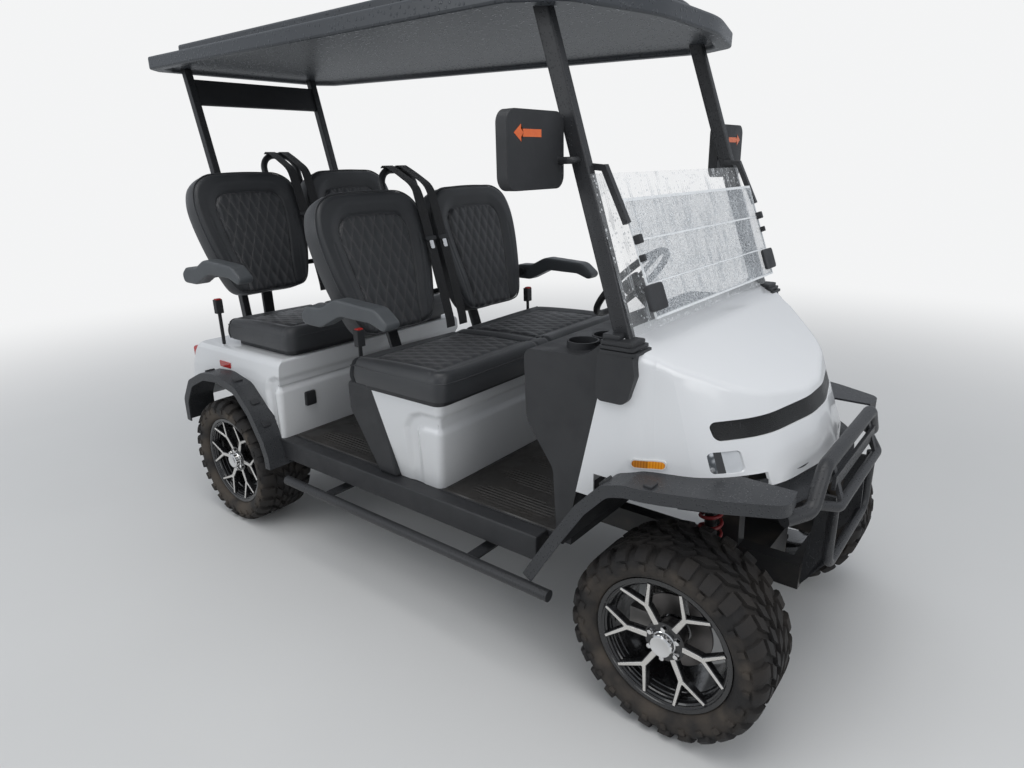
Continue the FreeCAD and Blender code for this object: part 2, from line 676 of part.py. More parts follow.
def cross_members():
    """Cross tubes between the rails, outriggers to the sills, subframe and spring towers."""
    inner = RAIL_Y - RAIL_WIDTH / 2
    outer = RAIL_Y + RAIL_WIDTH / 2
    middle = RAIL_BOTTOM + RAIL_HEIGHT / 2
    half = CROSS_TUBE / 2
    pieces = []
    for x in (FLOOR_REAR_X + 80, (FLOOR_REAR_X + FLOOR_FRONT_X) / 2, FLOOR_FRONT_X - 150):
        pieces.append(box((x - half, x + half), (-inner, inner), (middle - half, middle + half)))
        for side in (-1, 1):
            reach = sorted((side * outer, side * FLOOR_HALF_WIDTH))
            pieces.append(box((x - half, x + half), reach, (middle - half, middle + half)))
    rear_plate = box((RAIL_REAR_X, RAIL_REAR_X + 10), (-inner, inner), (RAIL_BOTTOM, FLOOR_BOTTOM))
    for y in (-HITCH_SPACING_Y / 2, HITCH_SPACING_Y / 2):
        for z in (middle - HITCH_SPACING_Z / 2, middle + HITCH_SPACING_Z / 2):
            rear_plate = rear_plate.cut(rod(vec(RAIL_REAR_X - 5, y, z), vec(RAIL_REAR_X + 15, y, z),
                                            HITCH_HOLE_RADIUS))
    pieces.append(rear_plate)
    pieces.append(box((RAIL_FRONT_X - CROSS_TUBE, RAIL_FRONT_X), (-inner, inner),
                      (middle - half, middle + half)))
    pieces.append(box((WHEELBASE - SUBFRAME_HALF_LENGTH, WHEELBASE + SUBFRAME_HALF_LENGTH),
                      (-SUBFRAME_HALF_WIDTH, SUBFRAME_HALF_WIDTH), (SUBFRAME_BOTTOM, RAIL_BOTTOM)))
    # across from the middle, height
    rows = [(-outer, FLOOR_BOTTOM), (-inner, FLOOR_BOTTOM), (-inner - 12, TOWER_TOP),
            (-TOWER_OUTER_Y, TOWER_TOP),
            (-TOWER_OUTER_Y, TOWER_TOP - TOWER_PLATE), (-outer - 12, TOWER_TOP - TOWER_PLATE)]
    tower = prism("yz", rows, WHEELBASE - TOWER_HALF_LENGTH, WHEELBASE + TOWER_HALF_LENGTH)
    pieces += [tower, left_of(tower)]
    return Part.makeCompound(pieces)


def sill_rails():
    """The steel sill along each side of the floor."""
    sill = box((SILL_REAR_X, SILL_FRONT_X), (-FLOOR_HALF_WIDTH - SILL_WIDTH, -FLOOR_HALF_WIDTH),
               (FLOOR_TOP - SILL_HEIGHT, FLOOR_TOP))
    return both(sill)


def floor_pan():
    return box((FLOOR_REAR_X, FLOOR_FRONT_X), (-FLOOR_HALF_WIDTH, FLOOR_HALF_WIDTH),
               (FLOOR_BOTTOM, FLOOR_TOP))


def floor_mats():
    """A rubber mat in each footwell."""
    side = FLOOR_HALF_WIDTH - MAT_EDGE_GAP
    # footwell: rear x, front x
    wells = ((REAR_BODY_FOOT_X + MAT_EDGE_GAP, BACK_PANEL_FOOT_X - MAT_EDGE_GAP),
             (SEAT_BASE_BOTTOM_FRONT_X + MAT_EDGE_GAP, FLOOR_FRONT_X - TOE_THICKNESS - MAT_EDGE_GAP))
    return Part.makeCompound([prism("xy", [(a, -side), (b, -side), (b, side), (a, side)], FLOOR_TOP,
                                    FLOOR_TOP + MAT_THICKNESS, 25) for a, b in wells])


def step_bars():
    """A round step bar beside each sill, on two brackets from the sill's underside."""
    tube = rod(vec(STEP_REAR_X, -STEP_Y, STEP_Z), vec(STEP_FRONT_X, -STEP_Y, STEP_Z), STEP_RADIUS)
    sill_low = FLOOR_TOP - SILL_HEIGHT
    inner = FLOOR_HALF_WIDTH + 8
    plate = STEP_BRACKET_THICKNESS
    rows = [(-inner, sill_low), (-inner - plate, sill_low), (-inner - plate, STEP_Z + plate / 2),
            (-STEP_Y, STEP_Z + plate / 2), (-STEP_Y, STEP_Z - plate / 2), (-inner, STEP_Z - plate / 2)]
    pieces = [tube]
    for x in (STEP_REAR_X + 250, STEP_FRONT_X - 330):
        pieces.append(prism("yz", rows, x - STEP_BRACKET_WIDTH / 2, x + STEP_BRACKET_WIDTH / 2))
    return both(fuse(pieces))


# Front cowl: a plan that leans at the nose, cut to the seam line behind and the hood line above
def cowl_plan(inset, level):
    """The cowl's outline from above at a level."""
    lean = NOSE_SLANT * (level - NOSE_LEVEL)
    half = [(x - leans * (lean + inset), y - inset, corner) for x, y, corner, leans in COWL_PLAN]
    whole = half + [(x, -y, corner) for x, y, corner in reversed(half)]
    return outline("xy", whole, level)


@cache
def cowl_block(inset, below):
    """The cowl's outer block, drawn in by the wall where inset is not 0."""
    low = COWL_BOTTOM - below
    body = Part.makeLoft([cowl_plan(inset, COWL_BOTTOM - 100), cowl_plan(inset, COWL_TOP)], True, True)
    (low_x, low_z), (high_x, high_z) = COWL_SEAM_LOW, COWL_SEAM_HIGH
    run = (high_x - low_x) / (high_z - low_z)
    fall = (HOOD_LIP[1] - high_z) / (HOOD_LIP[0] - high_x)
    drop = inset * math.hypot(1, fall)
    far = HOOD_LIP[0] + 200
    rows = [(low_x - run * (low_z - low) + inset, low), (high_x + inset, high_z + inset * fall - drop),
            (far, high_z + fall * (far - high_x) - drop), (far, low)]
    body = body.common(prism("xz", rows, -COWL_HALF_WIDTH - 50, COWL_HALF_WIDTH + 50))
    normal = vec(-fall, 0, 1).normalize()
    level = normal.dot(vec(high_x, 0, high_z - drop))
    rims = [edge for edge in body.Edges
            if all(abs(normal.dot(v.Point) - level) < 0.01 for v in edge.Vertexes)
            and edge.BoundBox.XMax > high_x + inset + 20]
    return body.makeFillet(HOOD_EDGE_ROUND, rims)


def arch_room(line, inner_y, outer_y, gap):
    """The space under a wheel arch line, down past the body's edge."""
    rows = [(row[0], row[1] + gap) + tuple(row[2:]) for row in line]
    rows = [(rows[0][0], 0)] + rows + [(rows[-1][0], 0)]
    return prism("xz", rows, -outer_y, -inner_y)


def cowl():
    """White front cowl: hood, nose and sides, open below."""
    shell = cowl_block(0, 0).cut(cowl_block(COWL_WALL, 20))
    room = arch_room(FRONT_FLARE_LINE, COWL_ARCH_INNER_Y, COWL_HALF_WIDTH + 60, SEAT_GAP)
    below = box((COWL_SEAM_LOW[0] + 60, HOOD_LIP[0] + 200), (-COWL_HALF_WIDTH, COWL_HALF_WIDTH),
                (0, NOSE_BOTTOM))
    shell = shell.cut(room).cut(left_of(room)).cut(below)
    for window in (band_window(0), headlamp_box(0), left_of(headlamp_box(0))):
        shell = shell.cut(window)
    return shell.removeSplitter()


def band_window(gap):
    """The slot across the nose for the dark band, less a gap."""
    half = BAND_HALF_WIDTH - gap
    rows = [(-half + BAND_TAPER, BAND_BOTTOM + gap, 20), (half - BAND_TAPER, BAND_BOTTOM + gap, 20),
            (half, BAND_TOP - gap, 16), (-half, BAND_TOP - gap, 16)]
    return prism("yz", rows, WHEELBASE - 60, HOOD_LIP[0] + 100)


def grille_band():
    """The dark band let into the nose."""
    return cowl_block(BAND_RECESS, 0).cut(cowl_block(BAND_DEPTH, 40)).common(band_window(SEAT_GAP))


def headlamp_box(grow):
    half_w, half_h = HEADLAMP_WIDTH / 2 + grow, HEADLAMP_HEIGHT / 2 + grow
    rows = [(-HEADLAMP_Y - half_w, HEADLAMP_Z - half_h), (-HEADLAMP_Y + half_w, HEADLAMP_Z - half_h),
            (-HEADLAMP_Y + half_w, HEADLAMP_Z + half_h), (-HEADLAMP_Y - half_w, HEADLAMP_Z + half_h)]
    return prism("yz", rows, WHEELBASE - 60, HOOD_LIP[0] + 100, 12)


def headlamps():
    """A lamp on each side of the nose, let into the cowl."""
    lamp = cowl_block(HEADLAMP_RECESS, 0).cut(cowl_block(HEADLAMP_DEPTH, 40)).common(headlamp_box(-SEAT_GAP))
    return both(lamp)


def side_markers():
    """An oval amber marker above each front flare."""
    half = MARKER_LENGTH / 2
    low, high = MARKER_Z - MARKER_HEIGHT / 2, MARKER_Z + MARKER_HEIGHT / 2
    rows = [(MARKER_X - half, low), (MARKER_X + half, low), (MARKER_X + half, high), (MARKER_X - half, high)]
    oval = prism("xz", rows, -COWL_HALF_WIDTH - 2 * MARKER_DEPTH, 0, MARKER_HEIGHT * 0.49)
    raised = moved(cowl_block(0, 0), 0, -MARKER_DEPTH, 0)
    return both(raised.common(oval).cut(cowl_block(0, 40)))


# Dash: a hollow box across the car, a toe board below it and a panel down each side
@cache
def dash():
    half = DASH_HALF_WIDTH
    upper = prism("xz", [(DASH_FACE_X, DASH_LOWER_Z, 30), (DASH_FACE_X - 6, DASH_TOP, 30),
                         (DASH_CREST_X, DASH_TOP + 6, 60), (DASH_FRONT_X - 6, DASH_CREST_Z, 20),
                         (DASH_FRONT_X + 20, DASH_CREST_Z), (DASH_FRONT_X - 50, DASH_LOWER_Z)], -half, half)
    hollow = prism("xz", [(DASH_FACE_X + 14, DASH_LOWER_Z - 20), (DASH_FACE_X + 14, DASH_TOP - 16),
                          (DASH_FRONT_X - 30, DASH_TOP - 16), (DASH_FRONT_X - 90, DASH_LOWER_Z - 20)],
                   -half + DASH_PANEL_THICKNESS, half - DASH_PANEL_THICKNESS)
    toe = prism("xz", [(FLOOR_FRONT_X - TOE_THICKNESS, FLOOR_TOP), (FLOOR_FRONT_X, FLOOR_TOP),
                       (TOE_TOP_X, DASH_LOWER_Z + 60), (TOE_TOP_X - TOE_THICKNESS, DASH_LOWER_Z + 60)],
                -half, half)
    # x, z, corner radius of the panel beside the footwell
    rows = [(SILL_FRONT_X + 66, FLOOR_TOP), (SILL_FRONT_X + 52, DASH_LOWER_Z - 125, 60),
            (DASH_FACE_X, DASH_LOWER_Z + 10, 50), (DASH_FACE_X + 22, DASH_TOP - 22, 30),
            (DASH_CREST_X, DASH_TOP, 60), (DASH_FRONT_X - 6, DASH_CREST_Z - 16, 20),
            (DASH_FRONT_X + 10, DASH_CREST_Z - 16), (COWL_SEAM_LOW[0] + 20, COWL_SEAM_LOW[1] + 20),
            (FLOOR_FRONT_X + 6, FLOOR_TOP + 60), (FLOOR_FRONT_X, FLOOR_TOP)]
    panel = prism("xz", rows, -half, -half + DASH_PANEL_THICKNESS)
    cups, bores = [], []
    for x, y in CUPS:
        cups.append(Part.makeCylinder(CUP_RADIUS + CUP_WALL, CUP_DEPTH + CUP_WALL,
                                      vec(x, y, CUP_RIM_Z - CUP_DEPTH - CUP_WALL)))
        bores.append(Part.makeCylinder(CUP_RADIUS, CUP_DEPTH + 1, vec(x, y, CUP_RIM_Z - CUP_DEPTH)))
    body = fuse([upper.cut(hollow), toe, panel, left_of(panel)]).cut(cowl_block(0, 60))
    body = fuse([body] + cups)
    for bore in bores:
        body = body.cut(bore)
    return body.removeSplitter()


# Front seat base: white moulded shell, open behind, closed there by a black panel
def base_block(inset):
    foot = SEAT_BASE_FOOT_HALF_WIDTH - inset
    top = SEAT_BASE_HALF_WIDTH - inset
    profile = [(SEAT_BASE_BOTTOM_REAR_X + inset, FLOOR_TOP), (SEAT_BASE_BOTTOM_FRONT_X - inset, FLOOR_TOP),
               (SEAT_BASE_FRONT_X - inset, SEAT_BASE_TOP - inset), (SEAT_BASE_REAR_X + inset,
                                                                    SEAT_BASE_TOP - inset)]
    front = mirrored_rows([(foot, FLOOR_TOP), (top, SEAT_BASE_TOP - inset)])
    block = prism("xz", profile, -top, top)
    return block.common(prism("yz", front, SEAT_BASE_REAR_X - 50, SEAT_BASE_FRONT_X + 50))


def front_seat_base():
    hollow = base_block(SEAT_BASE_WALL)
    lean = [(SEAT_BASE_BOTTOM_REAR_X - 200, FLOOR_TOP - 1), (SEAT_BASE_BOTTOM_REAR_X + 12, FLOOR_TOP - 1),
            (SEAT_BASE_REAR_X + 12, SEAT_BASE_TOP - SEAT_BASE_WALL), (SEAT_BASE_REAR_X - 200,
                                                                      SEAT_BASE_TOP - SEAT_BASE_WALL)]
    inner = SEAT_BASE_FOOT_HALF_WIDTH - SEAT_BASE_WALL - 4
    open_back = prism("xz", lean, -inner, inner)
    return base_block(0).cut(hollow).cut(open_back)


def seat_base_back():
    """Black kick panel behind the front seat base."""
    half = BACK_PANEL_HALF_WIDTH
    knee_x, knee_z = BACK_PANEL_KNEE
    rows = [(BACK_PANEL_FOOT_X, FLOOR_TOP), (SEAT_BASE_BOTTOM_REAR_X, FLOOR_TOP),
            (SEAT_BASE_REAR_X, SEAT_BASE_TOP), (knee_x, SEAT_BASE_TOP, 14), (knee_x, knee_z, 20)]
    return prism("xz", rows, -half, half)


def battery_pack():
    length, width, height = BATTERY_SIZE
    front = SEAT_BASE_BOTTOM_FRONT_X - SEAT_BASE_WALL - 30
    low = FLOOR_TOP
    rows = [(front - length + 90, low), (front, low), (front, low + height), (front - length, low + height),
            (front - length, low + height - 120)]
    return prism("xz", rows, -width / 2, width / 2)


# Each row of seats. A cushion: how far back and up from the front row's, depth, half width.
CUSHIONS = (("front", 0, 0, CUSHION_DEPTH, CUSHION_HALF_WIDTH),
            ("rear", REAR_CUSHION_BACK, REAR_CUSHION_UP, REAR_CUSHION_DEPTH, REAR_CUSHION_HALF_WIDTH))
# A pair of backrests: how far back and up from the front row's, where their stems stand (x, z)
BACKRESTS = (("front", 0, 0, (STEM_FOOT_X, SEAT_BASE_TOP)),
             ("rear", REAR_BACKREST_BACK, REAR_BACKREST_UP, (REAR_STEM_FOOT_X,
                                                             SEAT_BASE_TOP + REAR_CUSHION_UP)))
LEAN = math.radians(BACKREST_LEAN)


def row_front_x(back):
    return CUSHION_FRONT_X - back


def cushion(back, up, depth, half):
    """Seat cushion: a soft block with round edges, highest at its front edge."""
    front = row_front_x(back)
    low = SEAT_BASE_TOP + TRAY_THICKNESS + up + CUSHION_GAP
    high = low + CUSHION_THICKNESS
    profile = [(front - depth, low, 12), (front - 26, low, 40), (front, low + 50, 40), (front - 14, high, 42),
               (front - depth, high - 18, 34)]
    block = prism("xz", profile, -half, half)
    plan = [(front - depth - 1, -half, 40), (front + 1, -half, 60), (front + 1, half, 60),
            (front - depth - 1, half, 40)]
    return block.common(prism("xy", plan, low - 10, high + 10))


def cushion_trays():
    """The black tray that each cushion lies in."""
    trays = []
    for _, back, up, depth, half in CUSHIONS:
        front = row_front_x(back) - 34
        low = SEAT_BASE_TOP + up
        rows = [(front - depth + 60, -half + 22), (front, -half + 22), (front, half - 22),
                (front - depth + 60, half - 22)]
        trays.append(prism("xy", rows, low, low + TRAY_THICKNESS, 40))
    return Part.makeCompound(trays)


def on_backrest(up_along, ahead, back, up):
    """A point (x, z) of a row's backrest: along its front face from the foot, and ahead of it."""
    x = BACKREST_FOOT_X - back - up_along * math.sin(LEAN) + ahead * math.cos(LEAN)
    z = BACKREST_FOOT_Z + up + up_along * math.cos(LEAN) + ahead * math.sin(LEAN)
    return x, z


def leaning(shape, back, up):
    """A piece made upright at the origin, leaned back and put on a row's backrest foot."""
    piece = shape.copy()
    piece.rotate(ORIGIN, AXES["y"], -BACKREST_LEAN)
    return moved(piece, BACKREST_FOOT_X - back, 0, BACKREST_FOOT_Z + up)


@cache
def upright_backrest():
    """The right backrest, upright: a shield, wide at the shoulders and narrow at the foot."""
    half, foot = BACKREST_HALF_WIDTH, BACKREST_FOOT_HALF_WIDTH
    height, thick = BACKREST_HEIGHT, BACKREST_THICKNESS
    front = mirrored_rows([(foot, 0, 60), (half - 12, height * 0.45, 320), (half, height * 0.72, 200),
                           (half * 0.78, height * 0.99, 110)])
    shifted = [(row[0] - BACKREST_CENTRE_Y,) + tuple(row[1:]) for row in front]
    shield = prism("yz", shifted, -thick, 0)
    side = prism("xz", [(-thick * 0.72, 0, 30), (0, 0, 40), (0, height, 50), (-thick * 0.8, height, 40),
                        (-thick, height * 0.5, 200)], -2 * half - 60, 60)
    return shield.common(side)


def backrests(back, up):
    return both(leaning(upright_backrest(), back, up))


def hoop_points(half):
    """The belt hoop's centre line, upright at the origin, behind the backrests."""
    x = -BACKREST_THICKNESS - HOOP_OFFSET
    return [vec(x, -half, PIVOT_UP), vec(x, -half, HOOP_TOP), vec(x, half, HOOP_TOP), vec(x, half, PIVOT_UP)]


def seat_frame(back, up, foot):
    """Belt hoop, cross tube, backrest brackets, armrest pivots and stems of one row, as one piece."""
    x = -BACKREST_THICKNESS - HOOP_OFFSET
    hoop = pipe(hoop_points(HOOP_HALF_WIDTH), HOOP_RADIUS, 70)
    side = BACKREST_CENTRE_Y + BACKREST_HALF_WIDTH + 8
    cross = rod(vec(x, -side, PIVOT_UP), vec(x, side, PIVOT_UP), HOOP_RADIUS * 0.8)
    pieces = [hoop, cross]
    for hand in (-1, 1):
        plate_low, plate_high = sorted((hand * side, hand * (side + 6)))
        pieces.append(prism("xz", [(x - 16, PIVOT_UP - 16), (-PIVOT_BACK + 18, PIVOT_UP - 18),
                                   (-PIVOT_BACK + 18, PIVOT_UP + 18), (x - 16, PIVOT_UP + 16)],
                            plate_low, plate_high, 14))
        pin_end = hand * (ARMREST_INNER_Y + ARMREST_WIDTH - 16)
        pieces.append(rod(vec(-PIVOT_BACK, hand * side, PIVOT_UP), vec(-PIVOT_BACK, pin_end, PIVOT_UP),
                          PIVOT_RADIUS))
        low_y, high_y = sorted((hand * (STEM_Y - STEM_WIDTH / 2), hand * (STEM_Y + STEM_WIDTH / 2)))
        bracket = box((x - 8, -BACKREST_THICKNESS / 2), (low_y, high_y), (PIVOT_UP - 30, PIVOT_UP + 60))
        back_face = moved(upright_backrest(), -STEM_GAP, 0, 0)
        pieces.append(bracket.cut(back_face if hand < 0 else left_of(back_face)))
    frame = leaning(fuse(pieces), back, up)
    top = on_backrest(PIVOT_UP, x, back, up)
    stems = [bar("xz", (foot[0], foot[1] - 20), top, STEM_THICKNESS, *sorted(
        (hand * (STEM_Y - STEM_WIDTH / 2), hand * (STEM_Y + STEM_WIDTH / 2)))) for hand in (-1, 1)]
    frame = fuse([frame] + stems)
    return frame.cut(box((-2000, 4000), (-1000, 1000), (0, foot[1])))


def seat_frames():
    return Part.makeCompound([seat_frame(back, up, foot) for _, back, up, foot in BACKRESTS])


def armrest(back, up):
    """Curved armrest on the right of a row, with its pivot's bore."""
    x, z = on_backrest(PIVOT_UP, -PIVOT_BACK, back, up)
    length, deep, rise = ARMREST_LENGTH, ARMREST_DEPTH, ARMREST_RISE
    # x from the pivot, z from the pivot, corner radius
    rows = [(-70, 4, 20), (-60, -34, 24), (40, -36, 40), (150, 16, 80), (length - 90, 12, 40),
            (length - 20, -12, 22),
            (length, 14, 26), (length - 60, rise, 60), (130, rise + 14, 90), (50, 36, 60), (-30, 34, 30)]
    shape = prism("xz", [(x + row[0], z + row[1], row[2]) for row in rows],
                  -ARMREST_INNER_Y - ARMREST_WIDTH, -ARMREST_INNER_Y)
    bore = rod(vec(x, -ARMREST_INNER_Y + 1, z), vec(x, -ARMREST_INNER_Y - ARMREST_WIDTH + 15, z),
               PIVOT_RADIUS + PIN_CLEARANCE)
    return shape.cut(bore)


def belt(back, up):
    """A shoulder belt from the hoop down in front of the backrest's inner edge to the cushion."""
    x_hoop, z_hoop = on_backrest(HOOP_TOP, -BACKREST_THICKNESS - HOOP_OFFSET, back, up)
    z_hoop += HOOP_RADIUS + BELT_THICKNESS + 0.5
    x_mid, z_mid = on_backrest(BACKREST_HEIGHT * 0.97, 12, back, up)
    x_low, z_low = on_backrest(0, 14, back, up)
    line = [(x_hoop - 12, z_hoop), (x_hoop + 10, z_hoop), (x_mid, z_mid), (x_low, z_low)]
    thick = BELT_THICKNESS
    lower = [(x - thick * 0.9, z - thick) for x, z in line[1:]]
    rows = line + [lower[2], lower[1], lower[0], (line[0][0], line[0][1] - thick)]
    return prism("xz", rows, -BELT_Y - BELT_WIDTH / 2, -BELT_Y + BELT_WIDTH / 2)


def seat_belts():
    pieces = []
    for _, back, up, _ in BACKRESTS:
        right = belt(back, up)
        pieces += [right, left_of(right)]
    return Part.makeCompound(pieces)


def belt_buckles():
    """A buckle on a stalk at the outer rear corner of each cushion."""
    length, width, height = BUCKLE_SIZE
    pieces = []
    for _, back, up, depth, half in CUSHIONS:
        x = row_front_x(back) - depth - 12
        y = -BUCKLE_Y
        low = SEAT_BASE_TOP + up
        high = low + TRAY_THICKNESS + CUSHION_THICKNESS
        stalk = box((x - 4, x + 4), (y - 8, y + 8), (low, high + 10))
        head = box((x - length / 2, x + length / 2), (y - width / 2, y + width / 2),
                   (high + 10, high + 10 + height))
        right = fuse([stalk, head])
        pieces += [right, left_of(right)]
    return Part.makeCompound(pieces)


# Rear body: white shell under the rear seat, with the rear wheel arches
def rear_block(inset):
    side, top_side = REAR_BODY_HALF_WIDTH - inset, REAR_BODY_TOP_HALF_WIDTH - inset
    top = SEAT_BASE_TOP + REAR_CUSHION_UP - inset
    tail_x, tail_z = REAR_BODY_TAIL
    profile = [(REAR_BODY_FOOT_X - inset, FLOOR_TOP - inset), (REAR_BODY_FRONT_X - inset, top, 10),
               (REAR_BODY_BACK_X + inset, top, 60), (tail_x + inset, tail_z - inset, 60),
               (REAR_BODY_BACK_FOOT_X + inset, REAR_BODY_BOTTOM - 2 * inset)]
    front = mirrored_rows([(side, FLOOR_TOP - 3 * inset), (side, FLOOR_TOP + 240, 60), (top_side, top, 40)])
    block = prism("xz", profile, -side, side)
    return block.common(prism("yz", front, REAR_BODY_BACK_FOOT_X - 60, REAR_BODY_FOOT_X + 60))


def strut_line(grow):
    """One rear strut, bent once on its way to the roof, grown on its sides."""
    top, knee, foot = STRUT_TOP, STRUT_KNEE, STRUT_FOOT
    half = STRUT_SIZE / 2 + grow
    line = [(foot[0], foot[2]), (knee[0], knee[2], 220), (top[0], top[2])]
    rows = list(offset_line(line, half)) + list(reversed(offset_line(line, -half)))
    return prism("xz", rows, -top[1] - half, -top[1] + half)


def rear_body():
    shell = rear_block(0).cut(rear_block(REAR_BODY_WALL))
    room = arch_room(REAR_FLARE_LINE, REAR_ARCH_INNER_Y - 20, REAR_BODY_HALF_WIDTH + 20, SEAT_GAP)
    shell = shell.cut(room).cut(left_of(room))
    for strut in (strut_line(STEM_GAP), left_of(strut_line(STEM_GAP))):
        shell = shell.cut(strut)
    return shell.removeSplitter()


def tail_lamps():
    z, half = TAIL_LAMP_Z, TAIL_LAMP_HEIGHT / 2
    outer = REAR_BODY_TOP_HALF_WIDTH - 40
    rows = [(-outer, z - half), (-outer + TAIL_LAMP_WIDTH, z - half), (-outer + TAIL_LAMP_WIDTH, z + half),
            (-outer, z + half)]
    block = prism("yz", rows, REAR_BODY_BACK_FOOT_X - TAIL_LAMP_DEPTH, REAR_BODY_BACK_X + 60, 14)
    return both(block.cut(rear_block(0)))


def side_reflectors():
    half, low = REFLECTOR_LENGTH / 2, REFLECTOR_Z - REFLECTOR_HEIGHT / 2
    rows = [(REFLECTOR_X - half, low), (REFLECTOR_X + half, low),
            (REFLECTOR_X + half, low + REFLECTOR_HEIGHT),
            (REFLECTOR_X - half, low + REFLECTOR_HEIGHT)]
    block = prism("xz", rows, -REAR_BODY_HALF_WIDTH - 1, -REAR_BODY_TOP_HALF_WIDTH + 40, 6)
    return both(block.cut(rear_block(0)))


# Fender flares: a skin over the wheel and a lip down its outer edge
def offset_line(line, distance):
    """An open line of (x, z) moved sideways, to the right of its direction where positive."""
    moved_rows = []
    for i, row in enumerate(line):
        before, after = line[max(i - 1, 0)], line[min(i + 1, len(line) - 1)]
        run, rise = after[0] - before[0], after[1] - before[1]
        length = math.hypot(run, rise)
        aside, along = rise / length * distance, run / length * distance
        moved_rows.append((row[0] + aside, row[1] - along) + tuple(row[2:]))
    return moved_rows


def flare(line, plan, inner_plan):
    """One flare from its side line and its outline from above, open towards the wheel."""
    reach = max(row[1] for row in plan)
    side = [(row[0], -row[1]) + tuple(row[2:]) for row in plan]
    inner_side = [(row[0], -row[1]) + tuple(row[2:]) for row in inner_plan]
    outer = prism("xz", list(line) + list(reversed(offset_line(line, FLARE_LIP))), -reach - 1, 0)
    under = list(offset_line(line, FLARE_WALL)) + list(reversed(offset_line(line, FLARE_LIP + 30)))
    hollow = prism("xz", under, -reach - 1, 1).common(prism("xy", inner_side, 0, COWL_TOP))
    return outer.common(prism("xy", side, 0, COWL_TOP)).cut(hollow)


def fender_flares():
    wall = FLARE_WALL
    side, shoulder, corner, nose = FRONT_FLARE_PLAN[:4]
    front_inner = [(side[0] - 90, side[1] - wall), (shoulder[0], shoulder[1] - wall, shoulder[2]),
                   (corner[0] - wall / 3, corner[1] - wall, corner[2]), (nose[0] - wall, nose[1] - wall,
                                                                         nose[2]),
                   (FRONT_FLARE_PLAN[4][0] - wall, 300), (side[0] - 90, 300)]
    front = flare(FRONT_FLARE_LINE, FRONT_FLARE_PLAN, front_inner)
    rear_low, rear_high = REAR_FLARE_LINE[0][0] - 20, REAR_FLARE_LINE[-2][0] + 20
    outer = REAR_FLARE_OUTER_Y
    rear_plan = [(rear_low, outer, 30), (rear_high, outer), (rear_high, REAR_ARCH_INNER_Y),
                 (rear_low, REAR_ARCH_INNER_Y)]
    rear_inner = [(rear_low - 50, outer - wall), (rear_high + 50, outer - wall), (rear_high + 50, 100),
                  (rear_low - 50, 100)]
    rear = flare(REAR_FLARE_LINE, rear_plan, rear_inner)
    front = largest(front.cut(cowl_block(0, 60)).cut(sill_rails()))
    rear = largest(rear.cut(sill_rails()))
    return Part.makeCompound([front, left_of(front), rear, left_of(rear)])


# Brush guard: a thick upper loop, a thin middle bar, a flat bar between and a lower loop
def brush_guard():
    half = GUARD_BENDS[-1][1]
    path = [vec(a, -b, c) for a, b, c in GUARD_BENDS] + [vec(a, b, c) for a, b, c in reversed(GUARD_BENDS)]
    upper = pipe(path, GUARD_TUBE, GUARD_BEND)
    thin, x, z = GUARD_THIN_TUBE, GUARD_MID_X, GUARD_MID_Z
    back_x, back_z = GUARD_BENDS[1][0], GUARD_BENDS[1][2]
    middle = pipe([vec(back_x, -half - 40, back_z), vec(x, -half + 30, z), vec(x, half - 30, z),
                   vec(back_x, half + 40, back_z)],
                  thin, GUARD_BEND)
    plate_x, plate_z, plate_high = GUARD_PLATE
    flat = box((plate_x - 5, plate_x + 5), (-half + 30, half - 30),
               (plate_z - plate_high / 2, plate_z + plate_high / 2))
    low = [vec(x - thin, -GUARD_LOW_HALF, z), vec(x - thin, -GUARD_LOW_HALF, GUARD_LOW_Z),
           vec(x - thin, GUARD_LOW_HALF, GUARD_LOW_Z), vec(x - thin, GUARD_LOW_HALF, z)]
    lower = pipe(low, thin, GUARD_BEND)
    pieces = [upper, middle, lower, flat]
    for side in (-1, 1):
        y = side * (half - 60)
        pieces.append(bar("xz", (GUARD_BENDS[-1][0], GUARD_BENDS[-1][2]), (x, z), 10, y - 12, y + 12))
        arm_y = side * RAIL_Y
        rows = [(RAIL_FRONT_X, RAIL_BOTTOM + 8), (x - thin, GUARD_LOW_Z), (x - thin, GUARD_LOW_Z + 60),
                (x - 20, z), (x - 60, z),
                (RAIL_FRONT_X, FLOOR_BOTTOM - 4)]
        pieces.append(prism("xz", rows, arm_y - 6, arm_y + 6))
    return fuse(pieces)


# Front pillars: bent square tubes, each with the windshield's hinge arm
def pillar_x(z):
    share = (z - PILLAR_FOOT[2]) / (PILLAR_TOP[2] - PILLAR_FOOT[2])
    return PILLAR_FOOT[0] + share * (PILLAR_TOP[0] - PILLAR_FOOT[0])


def pillar_y(z):
    share = (z - PILLAR_FOOT[2]) / (PILLAR_TOP[2] - PILLAR_FOOT[2])
    return PILLAR_FOOT[1] + share * (PILLAR_TOP[1] - PILLAR_FOOT[1])


def pillar_bar(grow):
    """One right-hand pillar from below its boot to the roof."""
    low = PILLAR_FOOT[2] - PILLAR_SUNK
    ends = []
    for z in (low, PILLAR_TOP[2]):
        x, y = pillar_x(z), -pillar_y(z)
        half_d, half_w = PILLAR_DEPTH / 2 + grow, PILLAR_WIDTH / 2 + grow
        rows = [(x - half_d, y - half_w, 6), (x + half_d, y - half_w, 6), (x + half_d, y + half_w, 6),
                (x - half_d, y + half_w, 6)]
        ends.append(outline("xy", rows, z))
    return Part.makeLoft(ends, True, True)


